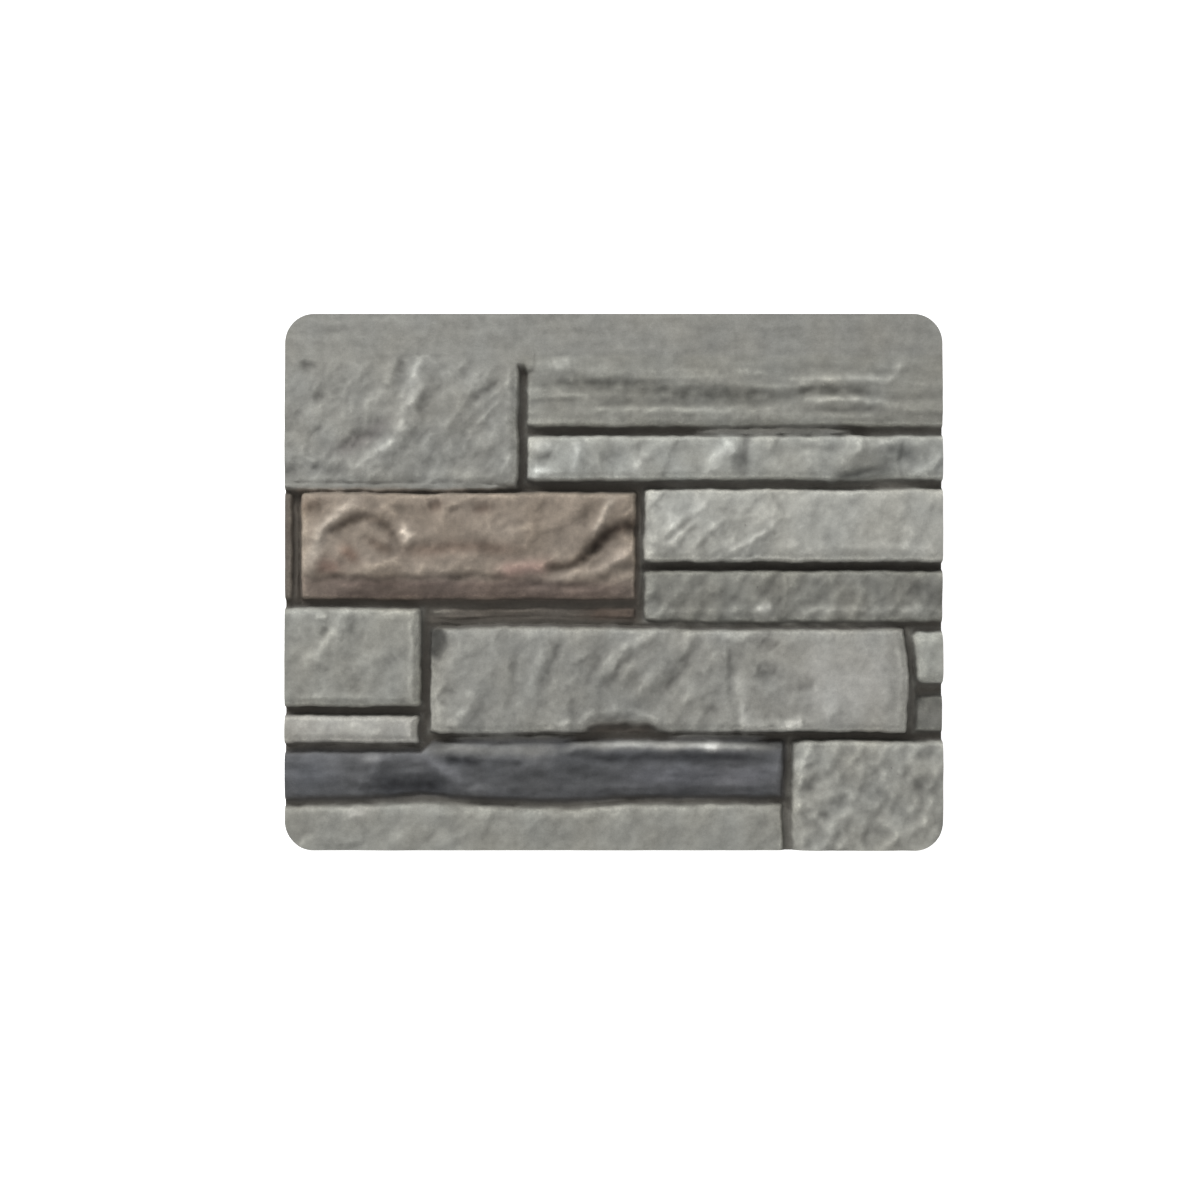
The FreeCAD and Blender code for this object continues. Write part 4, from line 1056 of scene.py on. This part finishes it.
def make_panel(face):
    """One closed mesh: the hewn face, the straight sides and the flat back."""
    rows, halves = face_rows()
    columns = int(LENGTH / MAP_STEP) + 1
    x = halves[:, None] * np.linspace(-1, 1, columns)[None, :]
    y = np.repeat(rows[:, None], columns, axis=1)
    z = face.sample(face.height, x.ravel(), y.ravel()).reshape(x.shape)
    count = x.size
    index = np.arange(count).reshape(x.shape)
    around = [index[:-1, :-1], index[:-1, 1:], index[1:, 1:], index[1:, :-1]]
    quads = [np.stack(around, axis=-1).reshape(-1, 4)]
    points = [np.stack([x.ravel(), y.ravel(), z.ravel()], axis=1)]
    rim = np.concatenate([index[0, :-1], index[:-1, -1], index[-1, :0:-1], index[:0:-1, 0]])
    rim_x = x.ravel()[rim]
    rim_y = y.ravel()[rim]
    upper = rim
    for ring, (level, inset) in enumerate(SIDE_RINGS):
        lower = count + ring * len(rim) + np.arange(len(rim))
        ring_x = rim_x * (1 - inset / (LENGTH / 2))
        ring_y = rim_y * (1 - inset / (HEIGHT / 2))
        points.append(np.stack([ring_x, ring_y, np.full(len(rim), level)], axis=1))
        quads.append(np.stack([upper, lower, np.roll(lower, -1), np.roll(upper, -1)], axis=-1))
        upper = lower
    faces = np.concatenate(quads).tolist()
    faces.append(upper[::-1].tolist())
    mesh = bpy.data.meshes.new("stone_panel_face")
    mesh.from_pydata((np.concatenate(points) * MM).tolist(), [], faces)
    mesh.validate()
    panel = bpy.data.objects.new("stone_panel_face", mesh)
    bpy.context.scene.collection.objects.link(panel)
    return panel


def read_all(items, key, width=1, kind=np.float32):
    """One value of every item as an array, or a row of values of each."""
    values = np.zeros(len(items) * width, kind)
    items.foreach_get(key, values)
    return values.reshape(-1, width) if width > 1 else values


def part_sides(mesh):
    """Keep the shading of the straight sides apart from the rest, and tell which corners are theirs."""
    centres = np.abs(read_all(mesh.polygons, "center", 3)) / MM
    upright = np.abs(read_all(mesh.polygons, "normal", 3)[:, 2]) < SIDE_SLOPE
    from_corner_x = np.maximum(centres[:, 0] - LENGTH / 2 + CORNER_RADIUS, 0)
    from_corner_y = np.maximum(centres[:, 1] - HEIGHT / 2 + CORNER_RADIUS, 0)
    at_rim = np.hypot(from_corner_x, from_corner_y) > CORNER_RADIUS - SIDE_REACH
    side = np.repeat(at_rim & upright, read_all(mesh.polygons, "loop_total", kind=np.int32))
    edges = read_all(mesh.loops, "edge_index", kind=np.int32)
    sides_at_edge = np.bincount(edges, weights=side, minlength=len(mesh.edges))
    mesh.edges.foreach_set("use_edge_sharp", (sides_at_edge == 1).tolist())
    return side


def thin_out(panel):
    """Bring the mesh down to its share of triangles. Flat stretches lose the most. Gives its points."""
    triangles = sum(len(polygon.vertices) - 2 for polygon in panel.data.polygons)
    modifier = panel.modifiers.new("thin", "DECIMATE")
    modifier.ratio = FACE_TRIANGLES / triangles
    bpy.context.view_layer.objects.active = panel
    panel.select_set(True)
    bpy.ops.object.modifier_apply(modifier=modifier.name)
    mesh = panel.data
    points = np.clip(read_all(mesh.vertices, "co", 3), np.array(low), np.array(high))
    mesh.vertices.foreach_set("co", points.ravel())
    mesh.update()
    mesh.polygons.foreach_set("use_smooth", [True] * len(mesh.polygons))
    return points / MM


def paint_panel(panel, face, points):
    """Paint and the mask of high spots at the corners of the mesh, where its material reads them. The sides
    are plain.
    """
    mesh = panel.data
    colours = face.sample(face.paint(), points[:, 0], points[:, 1])
    wear_and_shading = face.sample(face.wear_and_shading, points[:, 0], points[:, 1])
    side = 1 - smooth(points[:, 2], FLOOR - 1.5, FLOOR - 0.5)
    body_tone = linear(SIDE_TONE)
    colours = colours * (1 - side[:, None]) + body_tone * side[:, None]
    wear_and_shading = wear_and_shading * (1 - side)
    at_side = part_sides(mesh)
    corners = read_all(mesh.loops, "vertex_index", kind=np.int32)
    colours = np.where(at_side[:, None], body_tone, colours[corners])
    wear_and_shading = np.where(at_side, 0, wear_and_shading[corners])
    colours = np.column_stack([colours, np.ones(len(colours))])
    layer = mesh.color_attributes.new("stone_paint", "FLOAT_COLOR", "CORNER")
    layer.data.foreach_set("color", colours.astype(np.float32).ravel())
    layer = mesh.attributes.new("stone_wear_and_shading", "FLOAT", "CORNER")
    layer.data.foreach_set("value", wear_and_shading.astype(np.float32))


class MaterialNodes:
    """A new material, with short ways to add the nodes that it needs."""

    def __init__(self, name):
        self.material = bpy.data.materials.new(name)
        self.material.use_nodes = True
        self.tree = self.material.node_tree
        self.shader = self.tree.nodes["Principled BSDF"]

    def put(self, socket, value):
        """Set a socket to a plain value, or link it to the socket that feeds it."""
        if isinstance(value, bpy.types.NodeSocket):
            self.tree.links.new(value, socket)
        else:
            socket.default_value = value

    def add(self, kind, inputs=(), **settings):
        """A new node with its settings, and with pairs of an input and what goes into it."""
        node = self.tree.nodes.new(kind)
        for name, value in settings.items():
            setattr(node, name, value)
        for key, value in inputs:
            self.put(node.inputs[key], value)
        return node

    def math(self, operation, first, second):
        node = self.add("ShaderNodeMath", [(0, first), (1, second)], operation=operation)
        return node.outputs["Value"]

    def multiply_colour(self, factor, first, second):
        inputs = [("Factor", factor), ("A", first), ("B", second)]
        return self.add("ShaderNodeMix", inputs, data_type="RGBA", blend_type="MULTIPLY").outputs["Result"]

    def mapped(self, value, from_low, from_high, to_low, to_high):
        names = ("Value", "From Min", "From Max", "To Min", "To Max")
        values = (value, from_low, from_high, to_low, to_high)
        return self.add("ShaderNodeMapRange", zip(names, values)).outputs["Result"]


def stone_material():
    """Matte painted stone: mottled paint, pale high spots of dry brush and painted highlight, and fine
    grain.
    """
    made = MaterialNodes("weathered_stone")
    shader = made.shader.inputs
    made.put(shader["Roughness"], 0.86)
    made.put(shader["Specular IOR Level"], 0.25)
    place = made.add("ShaderNodeTexCoord").outputs["Object"]
    paint = made.add("ShaderNodeAttribute", attribute_name="stone_paint").outputs["Color"]
    wear_and_highlight = made.add("ShaderNodeAttribute", attribute_name="stone_wear_and_shading").outputs["Fac"]

    def speckle(scale, detail, roughness=0.6):
        inputs = [("Vector", place), ("Scale", scale), ("Detail", detail), ("Roughness", roughness)]
        return made.add("ShaderNodeTexNoise", inputs).outputs["Fac"]

    # Mottling some millimetres across and sand under one, as shades of grey over the paint
    mottle = made.mapped(speckle(260, 5), 0.3, 0.7, 0.90, 1.10)
    sand = made.mapped(speckle(1500, 3, 0.7), 0.3, 0.7, 0.93, 1.07)
    grain = made.math("MULTIPLY", mottle, sand)
    shade = made.add("ShaderNodeCombineColor", [("Red", grain), ("Green", grain), ("Blue", grain)])
    colour = made.multiply_colour(1.0, paint, shade.outputs["Color"])

    # Pale paint over what stands high, in broken strokes: dry-brushed paint and painted highlight
    brush = made.mapped(speckle(520, 4, 0.7), 0.40, 0.64, 0.3, 1.0)
    raised = made.mapped(wear_and_highlight, 0.05, 0.60, 0.0, 1.0)
    colour = made.multiply_colour(made.math("MULTIPLY", brush, raised), colour, (1.30, 1.30, 1.28, 1.0))
    made.put(shader["Base Color"], colour)
    made.put(shader["Roughness"], made.mapped(mottle, 0.9, 1.1, 0.80, 0.92))

    # Grain too fine for the mesh
    grit = made.math("ADD", speckle(900, 4, 0.65), made.math("MULTIPLY", speckle(2600, 2), 0.35))
    bump = made.add("ShaderNodeBump", [("Strength", 0.5), ("Distance", 0.0006), ("Height", grit)])
    made.put(shader["Normal"], bump.outputs["Normal"])
    return made.material


def backdrop_material(name, strength):
    """Shows as plain white to the camera and to reflections, and as a pale matte floor to the light."""
    made = MaterialNodes(name)
    made.put(made.shader.inputs["Base Color"], (0.9, 0.9, 0.9, 1.0))
    made.put(made.shader.inputs["Roughness"], 1.0)
    made.put(made.shader.inputs["Specular IOR Level"], 0.0)
    rays = made.add("ShaderNodeLightPath").outputs
    direct = made.math("MAXIMUM", rays["Is Camera Ray"], rays["Is Glossy Ray"])
    seen = made.math("MAXIMUM", direct, rays["Is Transmission Ray"])
    black = made.add("ShaderNodeEmission", [("Strength", 0.0)]).outputs["Emission"]
    glow = made.add("ShaderNodeEmission", [("Strength", strength)]).outputs["Emission"]
    dim = made.add("ShaderNodeMixShader", [("Fac", seen), (1, black), (2, glow)]).outputs["Shader"]
    added = made.add("ShaderNodeAddShader", [(0, made.shader.outputs["BSDF"]), (1, dim)])
    made.put(made.tree.nodes["Material Output"].inputs["Surface"], added.outputs["Shader"])
    return made.material


def make_floor():
    """A pale floor, wide enough that its end never shows."""
    corners = [(-FLOOR_REACH, -FLOOR_REACH, 0), (FLOOR_REACH, -FLOOR_REACH, 0),
               (FLOOR_REACH, FLOOR_REACH, 0), (-FLOOR_REACH, FLOOR_REACH, 0)]
    mesh = bpy.data.meshes.new("floor")
    mesh.from_pydata(corners, [], [(0, 1, 2, 3)])
    floor = bpy.data.objects.new("floor", mesh)
    floor.location.z = low.z - FLOOR_GAP
    bpy.context.scene.collection.objects.link(floor)
    floor.data.materials.append(backdrop_material("studio_floor", 0.8))


def area_light(name, place, target, size, watts):
    """A rectangular lamp that faces its target."""
    data = bpy.data.lights.new(name, "AREA")
    data.shape = "RECTANGLE"
    data.size, data.size_y = size
    data.energy = watts
    lamp = bpy.data.objects.new(name, data)
    lamp.location = place
    lamp.rotation_mode = "QUATERNION"
    lamp.rotation_quaternion = (Vector(target) - Vector(place)).to_track_quat("-Z", "Y")
    bpy.context.scene.collection.objects.link(lamp)


def make_light():
    """Soft daylight that falls on the face from beyond its top edge, with a weak fill from the sky."""
    middle = (0, 0, high.z)
    area_light("key", place=(-0.80, 1.20, 0.90), target=middle, size=(1.2, 0.8), watts=25)
    area_light("fill", place=(0.2, -0.9, 1.6), target=middle, size=(2.0, 2.0), watts=9)
    world = bpy.data.worlds.new("studio")
    world.use_nodes = True
    sky = world.node_tree.nodes["Background"].inputs
    sky["Color"].default_value = (1, 1, 1, 1)
    sky["Strength"].default_value = 0.40
    bpy.context.scene.world = world


def make_camera():
    """Straight above the lying panel, as far off as frames it the way the photograph does."""
    data = bpy.data.cameras.new("camera")
    data.lens = 85
    data.sensor_width = 36
    camera = bpy.data.objects.new("camera", data)
    frame_width = PHOTO_SIZE * MM_PER_PIXEL * MM
    distance = frame_width * data.lens / data.sensor_width
    offset = from_photo([(PHOTO_SIZE / 2, PHOTO_SIZE / 2)])[0] * MM
    camera.location = (offset[0], offset[1], high.z * FRAMED_LEVEL + distance)
    bpy.context.scene.collection.objects.link(camera)
    bpy.context.scene.camera = camera


def main():
    make_camera()
    make_light()
    make_floor()
    face = Face()
    panel = make_panel(face)
    points = thin_out(panel)
    paint_panel(panel, face, points)
    panel.data.materials.append(stone_material())
    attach(panel, "root")
    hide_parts(NODE)
    bpy.context.scene.view_settings.view_transform = "Standard"


main()
